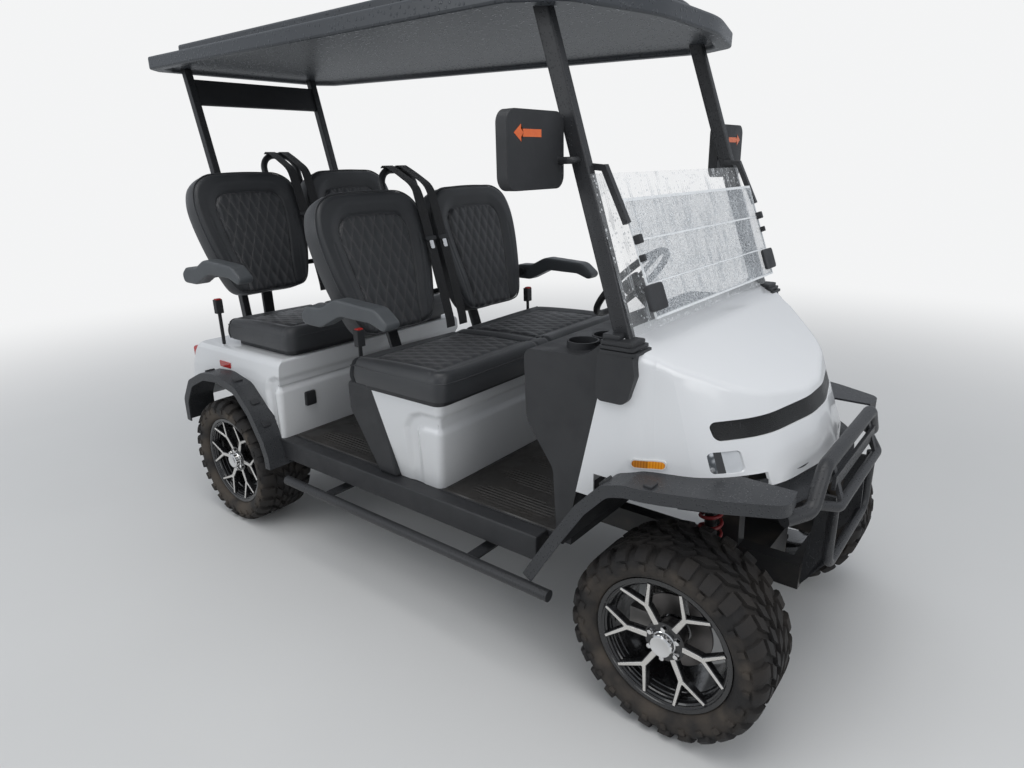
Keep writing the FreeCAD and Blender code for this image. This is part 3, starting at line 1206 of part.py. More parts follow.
def front_pillars():
    pillar = pillar_bar(0)
    x, z = pillar_x(PANE_TOP_Z), PANE_TOP_Z
    outer, inner = pillar_y(z) - PILLAR_WIDTH / 2 + 3, PANE_HALF_WIDTH + CUSHION_GAP
    arm = bar("xz", (x, z), (x + PILLAR_DEPTH / 2 + PANE_OFFSET, z - 6), HINGE_WIDTH, -outer, -inner)
    low = (FOLDED_TOP[0] + 0.2 * (FOLDED_BOTTOM[0] - FOLDED_TOP[0]),
           FOLDED_TOP[1] + 0.2 * (FOLDED_BOTTOM[1] - FOLDED_TOP[1]))
    drop = bar("xz", (x + PILLAR_DEPTH / 2 + PANE_OFFSET - 6, z), low, HINGE_WIDTH, -outer, -inner)
    return both(fuse([pillar, arm, drop]).cut(cowl_block(0, 60)).cut(dash()).cut(roof()))


def pillar_boots():
    """The black cover round each pillar's foot, seated on the cowl's corner."""
    x, y, z = PILLAR_FOOT
    half = BOOT_LENGTH / 2
    rows = [(x - half, z - BOOT_HEIGHT, 20), (x + half - 14, z - BOOT_HEIGHT, 30),
            (x + half + 8, z - BOOT_HEIGHT / 2, 20),
            (x + half, z + BOOT_RISE, 6), (x - half + 6, z + BOOT_RISE, 6), (x - half, z - BOOT_HEIGHT / 2,
                                                                             20)]
    block = prism("xz", rows, -BOOT_OUTER_Y, -BOOT_INNER_Y)
    return both(largest(block.cut(cowl_block(0, 60)).cut(pillar_bar(0.1)).cut(dash())))


def pane(low, high, offset, half):
    """A flat pane between two heights (x, z) of the side view, thickness ahead of the line."""
    return bar("xz", (low[0] + offset, low[1]), (high[0] + offset, high[1]), PANE_THICKNESS, -half, half)


def windshield_lower():
    ahead = PILLAR_DEPTH / 2 + PANE_THICKNESS / 2 + 0.5
    return pane((pillar_x(PANE_BOTTOM_Z), PANE_BOTTOM_Z), (pillar_x(PANE_TOP_Z - 20), PANE_TOP_Z - 20),
                ahead, PILLAR_FOOT[1])


def windshield_upper():
    return pane(FOLDED_BOTTOM, FOLDED_TOP, 0, PANE_HALF_WIDTH)


def mirrors():
    """A mirror head on an arm at the outer side of each pillar."""
    y, z, x = MIRROR_Y, MIRROR_Z, MIRROR_X
    half = MIRROR_HALF_WIDTH
    rows = [(-y - half, z - MIRROR_HEIGHT / 2), (-y + half, z - MIRROR_HEIGHT / 2),
            (-y + half, z + MIRROR_HEIGHT / 2),
            (-y - half, z + MIRROR_HEIGHT / 2)]
    head = prism("yz", rows, x - MIRROR_DEPTH / 2, x + MIRROR_DEPTH / 2, 34)
    level = z - 25
    pillar_side = pillar_y(level) + PILLAR_WIDTH / 2 + 0.2
    arm = pipe([vec(pillar_x(level), -pillar_side, level), vec(pillar_x(level), -pillar_side - 30, level),
                vec(x, -y + half - 20, level)], MIRROR_ARM, 15)
    return both(fuse([head, arm]).cut(pillar_bar(0.2)))


# Roof: a rim with chamfered corners, a raised middle and a shallow recess underneath
def roof_plan(inset):
    rear, front, corner = ROOF_REAR_X + inset, ROOF_FRONT_X - inset, ROOF_CORNER_X - inset
    back, ahead = ROOF_REAR_HALF - inset, ROOF_FRONT_HALF - inset
    chamfer = ROOF_CORNER
    half = [(rear, back - chamfer, 20), (rear + chamfer, back, 40), (corner - 2 * chamfer, ahead, 60),
            (corner, ahead - 1.2 * chamfer, 60), (front, ahead / 3, 600)]
    return half + [(row[0], -row[1], row[2]) for row in reversed(half)]


@cache
def roof():
    low = ROOF_BOTTOM
    rim_block = prism("xy", roof_plan(0), low, low + ROOF_RIM)
    raised = prism("xy", roof_plan(ROOF_INSET), low + ROOF_RIM / 2, low + ROOF_RIM + ROOF_RAISE)
    recess = prism("xy", roof_plan(ROOF_LIP), low - 1, low + ROOF_RECESS)
    slab = fuse([rim_block, raised]).cut(recess)
    slab.rotate(vec(PILLAR_TOP[0], 0, low), AXES["y"], ROOF_TILT)
    return slab


def rear_struts():
    """Each strut with its foot, an arm in to a post on the frame rail."""
    x, y, z = STRUT_FOOT
    half, post = STRUT_SIZE / 2, STRUT_SIZE / 2 + 8
    low = z - STRUT_FOOT_HEIGHT
    arm = box((x - post, x + post), (-y - half, -RAIL_Y + post), (low, z + 8))
    stand = box((x - post, x + post), (-RAIL_Y - post, -RAIL_Y + post), (FLOOR_BOTTOM, z + 8))
    below = box((-2000, 4000), (-1000, 1000), (0, low + 4))
    return both(fuse([strut_line(0).cut(below), arm, stand]).cut(roof()))


def rear_cross_panel():
    """The flat panel that joins the rear struts under the roof."""
    top, knee = STRUT_TOP, STRUT_KNEE
    slope = (top[0] - knee[0]) / (top[2] - knee[2])
    high = CROSS_PANEL_TOP
    low = high - CROSS_PANEL_HEIGHT
    side = top[1] - STRUT_SIZE / 2
    return bar("xz", (top[0] + (low - top[2]) * slope, low), (top[0] + (high - top[2]) * slope, high),
               CROSS_PANEL_THICKNESS, -side, side)


# Steering wheel on its leaning column
def steering_axis():
    lean = math.radians(STEERING_LEAN)
    return vec(-math.cos(lean), 0, math.sin(lean))


def steering_wheel():
    axis = steering_axis()
    centre = vec(STEERING_X, STEERING_Y, STEERING_Z)
    ring = Part.makeTorus(STEERING_RADIUS, STEERING_GRIP, centre, axis)
    hub = rod(centre - axis * 22, centre + axis * 16, 44)
    pieces = [ring, hub]
    across = vec(0, 1, 0)
    down = axis.cross(across)
    for angle in (0, 180, 270):
        turn = math.radians(angle)
        way = across * math.cos(turn) + down * math.sin(turn)
        pieces.append(rod(centre - axis * 6, centre + way * STEERING_RADIUS - axis * 2, 9))
    shaft = rod(centre - axis * 16, centre - axis * 60, SHAFT_RADIUS)
    return fuse(pieces + [shaft])


def steering_column():
    axis = steering_axis()
    centre = vec(STEERING_X, STEERING_Y, STEERING_Z)
    start = centre - axis * 32
    reach = (DASH_FACE_X + COLUMN_SEAT - start.x) / -axis.x
    tube = rod(start, start - axis * (reach + COLUMN_RADIUS), COLUMN_RADIUS)
    bore = rod(centre, centre - axis * 66, SHAFT_RADIUS + PIN_CLEARANCE)
    return largest(tube.cut(bore).cut(dash()))


def pedals():
    pieces = []
    for _, y, width in PEDALS:
        x, z = FLOOR_FRONT_X - TOE_THICKNESS - PEDAL_STAND, FLOOR_TOP + 70
        plate = bar("xz", (x, z), (x + 32, z + PEDAL_HEIGHT), PEDAL_THICKNESS, y - width / 2, y + width / 2)
        stalk = rod(vec(x + 16, y, z + PEDAL_HEIGHT / 2), vec(FLOOR_FRONT_X, y, z + PEDAL_HEIGHT / 2 + 20), 8)
        pieces.append(fuse([plate, stalk]).cut(dash()))
    return Part.makeCompound(pieces)


def build():
    """Every piece by the name of its file."""
    made = wheel_parts()
    right_knuckle = knuckle()
    made["knuckle_right"] = right_knuckle
    made["knuckle_left"] = left_of(right_knuckle)
    for name, back, up, depth, half in CUSHIONS:
        made[f"cushion_{name}"] = cushion(back, up, depth, half)
    for name, back, up, _ in BACKRESTS:
        made[f"backrests_{name}"] = backrests(back, up)
        right_arm = armrest(back, up)
        made[f"armrest_{name}_right"] = right_arm
        made[f"armrest_{name}_left"] = left_of(right_arm)
    for make in (front_arms, front_springs, steering_rack, tie_rods, rear_axle, drive_motor, leaf_springs,
                 chassis_rails, cross_members, sill_rails, floor_pan, floor_mats, step_bars, cowl,
                 grille_band,
                 headlamps, side_markers, dash, front_seat_base, seat_base_back, battery_pack, cushion_trays,
                 seat_frames, seat_belts, belt_buckles, rear_body, tail_lamps, side_reflectors, fender_flares,
                 brush_guard, front_pillars, pillar_boots, windshield_lower, windshield_upper, mirrors, roof,
                 rear_struts, rear_cross_panel, steering_wheel, steering_column, pedals):
        made[make.__name__] = make()
    return made


os.makedirs("parts", exist_ok=True)
for node, shape in build().items():
    shape.translate(vec(-CENTRE_X, 0, 0))
    shape.exportStep(f"parts/{node}.step")
    print(node, len(shape.Solids), "solids", round(shape.Volume / 1e6, 2), "litres", shape.isValid())
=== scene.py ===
import json
import math

import bmesh
import bpy
import numpy as np
from mathutils import Matrix, Vector
from mathutils.bvhtree import BVHTree


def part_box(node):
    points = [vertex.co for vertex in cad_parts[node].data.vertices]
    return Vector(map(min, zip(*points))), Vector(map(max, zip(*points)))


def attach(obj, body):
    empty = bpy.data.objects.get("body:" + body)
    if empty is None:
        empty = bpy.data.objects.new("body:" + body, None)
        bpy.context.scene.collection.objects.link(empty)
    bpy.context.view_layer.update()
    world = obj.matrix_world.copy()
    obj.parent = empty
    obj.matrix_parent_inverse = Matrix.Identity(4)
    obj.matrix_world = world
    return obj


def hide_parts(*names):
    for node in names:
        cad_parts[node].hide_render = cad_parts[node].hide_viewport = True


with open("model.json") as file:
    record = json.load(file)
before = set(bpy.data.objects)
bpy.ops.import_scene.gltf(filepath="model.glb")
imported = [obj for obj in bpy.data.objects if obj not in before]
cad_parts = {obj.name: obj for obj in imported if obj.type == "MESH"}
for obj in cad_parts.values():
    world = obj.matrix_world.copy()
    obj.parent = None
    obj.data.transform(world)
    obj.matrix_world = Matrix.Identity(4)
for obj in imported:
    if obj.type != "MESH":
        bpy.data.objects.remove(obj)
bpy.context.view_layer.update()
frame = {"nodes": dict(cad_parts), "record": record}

# The cart stands in a plain pale room under one wide soft sky, and is seen from its
# right front corner, a little above the height of the windshield.
CAMERA_PLACE, CAMERA_LENS, SENSOR_WIDTH = (1.8212, -2.0394, 1.5645), 23.67, 36.0
CAMERA_YAW, CAMERA_PITCH, CAMERA_ROLL = math.radians(129.0), math.radians(-17.93), math.radians(1.45)
# lamp: place, the point it faces, size, power, colour
LAMPS = (("sky_lamp", (0.6, -1.2, 5.6), (0, 0, 0.8), 5.0, 120, (1.0, 0.99, 0.98)),
         ("front_lamp", (5.0, -1.6, 3.0), (0.2, 0, 0.7), 3.0, 40, (1.0, 1.0, 1.0)),
         ("side_lamp", (-2.8, -5.2, 2.8), (-0.3, 0, 0.7), 3.0, 38, (0.97, 0.99, 1.0)))


def stand(thing, place, across, up, behind):
    """Stands a camera or lamp at a place, its own x, y and z along the three directions."""
    pose = np.eye(4)
    pose[:3] = np.stack([across, up, behind, place], 1)
    bpy.context.scene.collection.objects.link(thing)
    thing.matrix_world = Matrix(pose.tolist())


camera_data = bpy.data.cameras.new("view_camera")
camera_data.lens, camera_data.sensor_width = CAMERA_LENS, SENSOR_WIDTH
camera = bpy.data.objects.new("view_camera", camera_data)
ahead = np.array([math.cos(CAMERA_PITCH) * math.cos(CAMERA_YAW),
                  math.cos(CAMERA_PITCH) * math.sin(CAMERA_YAW), math.sin(CAMERA_PITCH)])
level = np.array([math.sin(CAMERA_YAW), -math.cos(CAMERA_YAW), 0.0])
below = np.cross(ahead, level)
right = math.cos(CAMERA_ROLL) * level + math.sin(CAMERA_ROLL) * below
down = -math.sin(CAMERA_ROLL) * level + math.cos(CAMERA_ROLL) * below
stand(camera, CAMERA_PLACE, right, -down, -ahead)
bpy.context.scene.camera = camera
bpy.context.scene.view_settings.view_transform = "Standard"
for name, place, target, size, power, colour in LAMPS:
    light = bpy.data.lights.new(name, "AREA")
    light.shape, light.size, light.energy, light.color = "DISK", size, power, colour
    towards = np.array(target, float) - np.array(place, float)
    towards /= np.linalg.norm(towards)
    aside = np.cross(towards, (0, 0, 1)) / np.linalg.norm(np.cross(towards, (0, 0, 1)))
    stand(bpy.data.objects.new(name, light), place, aside, np.cross(aside, towards), -towards)

# The floor is plain pale concrete that fades into the room's haze, and the room's light comes
# evenly from all round.
FLOOR_HALF = 30.0
HAZE_COLOUR = (0.90, 0.905, 0.91)
HAZE_START, HAZE_FULL = 2.2, 7.5


class Wire:
    """A socket of a finish's shader; arithmetic on it adds Math nodes to that shader."""

    def __init__(self, finish, socket):
        self.finish, self.socket = finish, socket

    def __add__(self, other):
        return self.finish.maths("ADD", self, other)

    __radd__ = __add__

    def __sub__(self, other):
        return self.finish.maths("SUBTRACT", self, other)

    def __rsub__(self, other):
        return self.finish.maths("SUBTRACT", other, self)

    def __mul__(self, other):
        return self.finish.maths("MULTIPLY", self, other)

    __rmul__ = __mul__

    def __truediv__(self, other):
        return self.finish.maths("DIVIDE", self, other)

    def __rtruediv__(self, other):
        return self.finish.maths("DIVIDE", other, self)

    def __pow__(self, other):
        return self.finish.maths("POWER", self, other)

    def __abs__(self):
        return self.finish.maths("ABSOLUTE", self)

    def __gt__(self, other):
        return self.finish.maths("GREATER_THAN", self, other)

    def __lt__(self, other):
        return self.finish.maths("LESS_THAN", self, other)


class Finish:
    """A procedural material: one shader, its fixed values, and the nodes that feed it. Tones are
    a noise's scale and detail and two colours that it mixes; wear is a noise's scale and detail,
    two levels of it, and the roughness at each."""

    def __init__(self, name, colour, rough, tones=None, wear=None, **fixed):
        self.material = bpy.data.materials.new(name)
        self.material.use_nodes = True
        self.nodes, self.links = self.material.node_tree.nodes, self.material.node_tree.links
        self.shader = self.nodes["Principled BSDF"]
        self.set("Base Color", colour)
        self.set("Roughness", rough)
        for socket, value in fixed.items():
            self.set(socket.replace("_", " "), value)
        if tones:
            self.set("Base Color", self.mix(self.noise(*tones[:2]), *tones[2:]))
        if wear:
            self.set("Roughness", self.ramp(self.noise(*wear[:2]), *wear[2:]))

    def set(self, socket, value):
        socket = self.shader.inputs[socket] if isinstance(socket, str) else socket
        if isinstance(value, Wire):
            self.links.new(value.socket, socket)
        elif isinstance(value, tuple) and socket.type == "RGBA" and len(value) == 3:
            socket.default_value = value + (1.0,)
        else:
            socket.default_value = value

    def node(self, kind, settings, sockets, out=0):
        made = self.nodes.new(kind)
        for name, value in settings.items():
            setattr(made, name, value)
        for key, value in sockets.items():
            self.set(made.inputs[key], value)
        return Wire(self, made.outputs[out])

    def maths(self, operation, *values):
        return self.node("ShaderNodeMath", {"operation": operation}, dict(enumerate(values)))

    def where(self):
        return self.node("ShaderNodeTexCoord", {}, {}, "Object")

    def along(self, axis, place=None):
        return self.node("ShaderNodeSeparateXYZ", {}, {0: place or self.where()}, axis)

    def stretched(self, place, scale):
        return self.node("ShaderNodeMapping", {}, {"Vector": place, "Scale": scale})

    def noise(self, scale, detail=3.0, place=None):
        return self.node("ShaderNodeTexNoise", {},
                         {"Vector": place or self.where(), "Scale": scale, "Detail": detail})

    def cells(self, scale, out="Distance", feature="F1"):
        return self.node("ShaderNodeTexVoronoi", {"feature": feature},
                         {"Vector": self.where(), "Scale": scale}, out)

    def ramp(self, value, low, high, start=0.0, end=1.0):
        return self.node("ShaderNodeMapRange", {"interpolation_type": "SMOOTHSTEP"},
                         {"Value": value, "From Min": low, "From Max": high, "To Min": start, "To Max": end})

    def mix(self, factor, first, second):
        return self.node("ShaderNodeMix", {"data_type": "RGBA"}, {0: factor, 6: first, 7: second}, 2)

    def bump(self, height, distance, strength=1.0):
        sockets = {"Height": height, "Distance": distance, "Strength": strength}
        self.set("Normal", self.node("ShaderNodeBump", {}, sockets))

    def sines(self, value, across):
        """Even stripes: the sine of a value times so many radians a metre."""
        return self.maths("SINE", value * across)

    def droplets(self, scale, share):
        """Round beads of water: domes in the cells of a pattern, in that share of them."""
        distance = self.cells(scale)
        chosen = self.node("ShaderNodeSeparateColor", {}, {0: self.cells(scale, out="Color")}, 0) < share
        return self.ramp(distance, 0.42, 0.18) * chosen


floor_mesh = bpy.data.meshes.new("floor")
floor_mesh.from_pydata([(x * FLOOR_HALF, y * FLOOR_HALF, 0) for x, y in ((-1, -1), (1, -1), (1, 1), (-1, 1))],
                       [], [(0, 1, 2, 3)])
floor = bpy.data.objects.new("floor", floor_mesh)
bpy.context.scene.collection.objects.link(floor)
concrete = Finish("pale_floor", (0.70, 0.70, 0.69), 0.9,
                  tones=(0.8, 4.0, (0.66, 0.66, 0.65), (0.72, 0.72, 0.71)))
out_from_cart = concrete.node("ShaderNodeVectorMath", {"operation": "LENGTH"}, {0: concrete.where()}, 1)
far_off = concrete.ramp(out_from_cart, HAZE_START, HAZE_FULL)
seen_only = concrete.node("ShaderNodeLightPath", {}, {}, "Is Camera Ray")
haze = concrete.node("ShaderNodeEmission", {}, {"Color": HAZE_COLOUR, "Strength": 1.0})
hazy_floor = concrete.node("ShaderNodeMixShader", {},
                           {0: far_off * seen_only, 1: Wire(concrete, concrete.shader.outputs[0]), 2: haze})
concrete.set(concrete.nodes["Material Output"].inputs[0], hazy_floor)
floor_mesh.materials.append(concrete.material)

world = bpy.data.worlds.new("room")
bpy.context.scene.world = world
world.use_nodes = True
nodes, links = world.node_tree.nodes, world.node_tree.links
nodes.clear()
rays, seen = nodes.new("ShaderNodeLightPath"), nodes.new("ShaderNodeMath")
seen.operation = "MAXIMUM"
both_rooms = nodes.new("ShaderNodeMixShader")
links.new(rays.outputs["Is Camera Ray"], seen.inputs[0])
links.new(rays.outputs["Is Transmission Ray"], seen.inputs[1])
links.new(seen.outputs[0], both_rooms.inputs[0])
# the room as it lights the cart, and as it is seen: colour, strength
ROOMS = (((0.80, 0.84, 0.90), 0.60), (HAZE_COLOUR, 1.0))
for number, (colour, strength) in enumerate(ROOMS):
    room = nodes.new("ShaderNodeBackground")
    room.inputs[0].default_value, room.inputs[1].default_value = colour + (1,), strength
    links.new(room.outputs[0], both_rooms.inputs[number + 1])
links.new(both_rooms.outputs[0], nodes.new("ShaderNodeOutputWorld").inputs[0])

# Tyres: moulded black rubber for rough ground, with a thick sidewall and separate square lugs.
# The carcass is one ring and every lug stands on it; each tyre is mounted over its rim's lips.
CORNERS = ("front_left", "front_right", "rear_left", "rear_right")
WHEEL_PLACES = {corner: np.add(*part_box("tyre_" + corner)) / 2 for corner in CORNERS}
FRONT_AXLE_X, REAR_AXLE_X = WHEEL_PLACES["front_right"][0], WHEEL_PLACES["rear_right"][0]
AXLE_Z = WHEEL_PLACES["rear_right"][2]
# across from the tyre's middle, radius
TYRE_SECTION = ((0.0942, 0.1850), (0.0942, 0.2050), (0.1060, 0.2078), (0.1165, 0.2190), (0.1222, 0.2370),
                (0.1205, 0.2550), (0.1120, 0.2695), (0.0960, 0.2775), (0.0600, 0.2795), (0.0, 0.2798))
LUGS_ROUND, LUG_TALL, LUG_FOOT, BAND_TALL = 27, 0.0125, 0.0015, 0.005
RING_STEPS, SECTION_STEPS = 120, 61
tyre_finish = Finish("tyre_rubber", (0.02, 0.02, 0.02), 0.8, Specular_IOR_Level=0.35)
tyre_dust = tyre_finish.noise(9.0, 5.0)
nearer_axle = tyre_finish.maths("MINIMUM", abs(tyre_finish.along(0) - FRONT_AXLE_X),
                                abs(tyre_finish.along(0) - REAR_AXLE_X))
from_axle = (nearer_axle ** 2.0 + abs(tyre_finish.along(2) - AXLE_Z) ** 2.0) ** 0.5
dusty = tyre_finish.ramp(tyre_dust, 0.35, 0.7) * tyre_finish.ramp(from_axle, 0.272, 0.250, 0.22, 1.0)
tyre_finish.set("Base Color", tyre_finish.mix(dusty, (0.017, 0.016, 0.016), (0.085, 0.071, 0.058)))
tyre_finish.set("Roughness", tyre_finish.ramp(tyre_dust, 0.3, 0.7, 0.62, 0.92))
tyre_finish.bump(tyre_finish.noise(260.0, 3.0) + tyre_finish.noise(60.0, 2.0), 0.0012, 0.7)


def add_piece(name, mesh, finish, body, replaced=(), smooth=30.0):
    """Puts a finished mesh into the scene as a piece that rides on a body."""
    piece = bpy.data.objects.new(name, mesh)
    bpy.context.scene.collection.objects.link(piece)
    mesh.materials.clear()
    mesh.materials.append(finish.material)
    mesh.shade_smooth()
    mesh.set_sharp_from_angle(angle=math.radians(smooth))
    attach(piece, body)
    if replaced:
        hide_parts(*replaced)
    return piece


def grid_mesh(name, points, around=False, ring=False, uv=None, weld=1e-5, outward=True):
    """A mesh through a grid of points: every cell between two rows and two columns is a face.
    Rows join up again where around is true, columns where ring is true."""
    grids = points if isinstance(points, list) else [points]
    corners, faces, start = [], [], 0
    for number, grid in enumerate(grids):
        rows, columns = grid.shape[:2]
        index = np.arange(rows * columns).reshape(rows, columns) + start
        if around:
            index = np.vstack([index, index[:1]])
        if ring:
            index = np.hstack([index, index[:, :1]])
        cells = np.stack([index[:-1, :-1], index[1:, :-1], index[1:, 1:], index[:-1, 1:]], -1)
        faces.append(cells.reshape(-1, 4))
        corners.append(grid.reshape(-1, 3))
        start += rows * columns
    corners, faces = np.concatenate(corners), np.concatenate(faces)
    mesh = bpy.data.meshes.new(name)
    mesh.from_pydata(corners.tolist(), [], faces.tolist())
    for layer_name, values in (uv or {}).items():
        layer = mesh.uv_layers.new(name=layer_name)
        layer.uv.foreach_set("vector", values.reshape(-1, 2)[faces.reshape(-1)].astype(np.float32).ravel())
    shaped = bmesh.new()
    shaped.from_mesh(mesh)
    bmesh.ops.remove_doubles(shaped, verts=shaped.verts, dist=weld)
    if outward:
        bmesh.ops.recalc_face_normals(shaped, faces=shaped.faces)
    shaped.to_mesh(mesh)
    shaped.free()
    return mesh


def joined(first, *others):
    """Adds the faces of other meshes to the first."""
    shaped = bmesh.new()
    for mesh in (first,) + others:
        shaped.from_mesh(mesh)
    shaped.to_mesh(first)
    shaped.free()
    return first


def resampled(corners, count, closed=False):
    """A smooth line through corners, Catmull-Rom between each two, cut into equal steps."""
    corners = np.asarray(corners, float)
    if closed:
        padded = np.vstack([corners[-1:], corners, corners[:2]])
    else:
        padded = np.vstack([2 * corners[:1] - corners[1:2], corners, 2 * corners[-1:] - corners[-2:-1]])
    t = np.linspace(0, 1, 24, endpoint=False)[None, :, None]
    a, b, c, d = (padded[i:len(padded) - 3 + i, None, :] for i in range(4))
    fine = 0.5 * (2 * b + (c - a) * t + (2 * a - 5 * b + 4 * c - d) * t ** 2 + (3 * b - a - 3 * c + d) * t ** 3)
    fine = np.vstack([fine.reshape(-1, corners.shape[1]), padded[-2:-1] if not closed else corners[:1]])
    length = np.concatenate([[0], np.cumsum(np.linalg.norm(np.diff(fine, axis=0), axis=1))])
    wanted = np.linspace(0, length[-1], count + 1 if closed else count)
    wanted = wanted[:-1] if closed else wanted
    return np.stack([np.interp(wanted, length, fine[:, i]) for i in range(corners.shape[1])], 1)


outer_half = [(across, radius) for across, radius in reversed(TYRE_SECTION[:-1])]
section = resampled([(-across, radius) for across, radius in TYRE_SECTION] + outer_half, SECTION_STEPS)


def on_tyre(turn, run, height):
    """A point of the tyre: turn round the axle, run along the section from 0 to 1, height above it."""
    steps = np.linspace(0, 1, len(section))
    across, radius = np.interp(run, steps, section[:, 0]), np.interp(run, steps, section[:, 1])
    slope = np.gradient(section, axis=0)
    normal = np.stack([-slope[:, 1], slope[:, 0]], 1) / np.linalg.norm(slope, axis=1)[:, None]
    across = across + height * np.interp(run, steps, normal[:, 0])
    radius = radius + height * np.interp(run, steps, normal[:, 1])
    return np.stack([radius * np.sin(turn), across, radius * np.cos(turn)], -1)


def lug_row(start, end, wide, skew, height, offset):
    """One row of lugs: blocks from start to end across the section, with sloping walls. A block's
    height is full over its middle and falls to nothing over its outer tenth."""
    across = np.array([0, 0.07, 0.3, 0.5, 0.7, 0.93, 1.0])
    along = np.array([-1, -0.84, -0.3, 0.3, 0.84, 1.0])
    rise = ((across > 0) & (across < 1))[:, None] * (np.abs(along) < 1)[None, :]
    centres = (np.arange(LUGS_ROUND) + offset) * 2 * math.pi / LUGS_ROUND
    run = start + (end - start) * across[None, :, None] + np.zeros((LUGS_ROUND, 1, len(along)))
    turn = (centres[:, None, None] + skew * (across[None, :, None] - 0.5)
            + wide / 2 * along[None, None, :])
    return list(on_tyre(turn, run, rise[None] * height - LUG_FOOT * (1 - rise[None])))


turn = np.linspace(0, 2 * math.pi, RING_STEPS, endpoint=False)
carcass = on_tyre(turn[:, None], np.linspace(0, 1, SECTION_STEPS)[None, :], np.zeros((RING_STEPS, 1)))
step = 2 * math.pi / LUGS_ROUND
# start and end across the section, width as a share of the spacing, skew, height, offset
LUG_ROWS = ((0.205, 0.335, 0.62, 0.00, LUG_TALL, 0.0), (0.665, 0.795, 0.62, 0.00, LUG_TALL, 0.5),
            (0.355, 0.425, 0.70, 0.10, LUG_TALL, 0.35), (0.575, 0.645, 0.70, -0.10, LUG_TALL, 0.85),
            (0.440, 0.492, 0.66, 0.09, LUG_TALL, 0.1), (0.508, 0.560, 0.66, -0.09, LUG_TALL, 0.6),
            (0.155, 0.200, 0.34, 0.00, BAND_TALL, 0.0), (0.800, 0.845, 0.34, 0.00, BAND_TALL, 0.5))
tread = [lug for start, end, wide, *rest in LUG_ROWS for lug in lug_row(start, end, wide * step, *rest)]
for corner, place in WHEEL_PLACES.items():
    carcass_mesh = grid_mesh("tyre_carcass", carcass + place, around=True, ring=True)
    tread_mesh = grid_mesh("tyre_tread", [lug + place for lug in tread], weld=1e-6, outward=False)
    add_piece("tyre_tread_" + corner, joined(carcass_mesh, tread_mesh), tyre_finish, "wheel_" + corner,
              ("tyre_" + corner,), 50)

# Rims: cast alloy, painted gloss black, with six forked spokes whose outer faces are machined
# bright. A bright cap covers the hub, with plated nuts round it, and a steel disc sits behind.
SPOKES = 6
SPOKE_ROOT, FORK_RADIUS, SPOKE_SPREAD, SPOKE_REACH = 0.036, 0.124, 0.050, 0.1855
# how far the hub's face stands out, and the circle of its nuts
HUB_FACE, NUTS, NUT_CIRCLE = 0.0815, 6, 0.0465
rim_finish = Finish("gloss_black_alloy", (0.012, 0.012, 0.013), 0.22, Coat_Weight=0.6, Coat_Roughness=0.08,
                    wear=(30.0, 4.0, 0.4, 0.75, 0.16, 0.42))
machined = Finish("machined_alloy", (0.78, 0.76, 0.73), 0.25, Metallic=1.0,
                  tones=(900.0, 2.0, (0.70, 0.68, 0.65), (0.86, 0.84, 0.81)),
                  wear=(40.0, 3.0, 0.3, 0.7, 0.20, 0.36))
plated = Finish("bright_plating", (0.80, 0.80, 0.80), 0.12, Metallic=1.0,
                wear=(60.0, 3.0, 0.4, 0.8, 0.08, 0.25))
disc_finish = Finish("brake_disc_steel", (0.16, 0.15, 0.14), 0.42, Metallic=1.0,
                     tones=(18.0, 4.0, (0.11, 0.10, 0.10), (0.24, 0.23, 0.22)))


def lathed(rows, count=48):
    """A profile (across, radius) turned about the axle: a closed ring of faces."""
    rows = np.asarray(rows, float)
    turn = np.linspace(0, 2 * math.pi, count, endpoint=False)[None, :]
    return np.stack([rows[:, 1:] * np.sin(turn), rows[:, :1] + 0 * turn, rows[:, 1:] * np.cos(turn)], -1)


# across from the wheel's middle, radius: the barrel from its inner lip round to its outer lip
BARREL = ((-0.1000, 0.1985), (-0.1015, 0.2030), (-0.0975, 0.2035), (-0.0960, 0.1850), (0.0880, 0.1830),
          (0.0960, 0.1850), (0.0975, 0.2035), (0.1022, 0.2030), (0.1025, 0.1990), (0.1010, 0.1915),
          (0.0960, 0.1885), (0.0900, 0.1795), (0.0840, 0.1785), (0.0800, 0.1755), (0.0720, 0.1755),
          (0.0700, 0.1725), (0.0560, 0.1715), (0.0540, 0.1690), (-0.0700, 0.1640), (-0.0900, 0.1700))
# radius, face's distance out from the wheel's middle: the spokes rise towards the lip
SPOKE_RISE = ((0.050, 0.0800), (0.104, 0.0850), (0.1855, 0.0985))
# across, radius of the hub behind the spokes, and of the disc
HUB = ((-0.005, 0.0175), (-0.005, 0.045), (0.060, 0.045), (0.066, 0.058), (0.080, 0.060), (HUB_FACE, 0.056),
       (HUB_FACE, 0.0))
DISC = ((0.006, 0.050), (0.006, 0.112), (0.014, 0.112), (0.014, 0.050))
# across beyond the hub's face, radius of its cap and of a nut
CAP = ((-0.001, 0.0), (-0.001, 0.0350), (0.004, 0.0355), (0.006, 0.0330), (0.014, 0.0325), (0.0160, 0.0340),
       (0.0230, 0.0335), (0.0265, 0.0305), (0.0265, 0.0240), (0.0257, 0.0225), (0.0257, 0.0))
NUT = ((-0.001, 0.0), (-0.001, 0.0098), (0.008, 0.0098), (0.0135, 0.0075), (0.016, 0.0))
# spokes: width of the stem and of an arm, depth behind the face, height over it, chamfer
CAST_SPOKES, SPOKE_FACES = (0.023, 0.0155, 0.020, 0.0, 0.0015), (0.0175, 0.0110, 0.0006, 0.0009, 0.0007)
SPOKE_TAPER, ARM_START, ARM_OVERLAP = 0.003, 0.002, 0.008


def shut(rings):
    """Shuts a tube of rings: a ring drawn in to its middle is put before the first and the last."""
    first, last = (np.repeat(rings[i].mean(0)[None, None], rings.shape[1], 1) for i in (0, -1))
    return np.concatenate([first, rings, last])


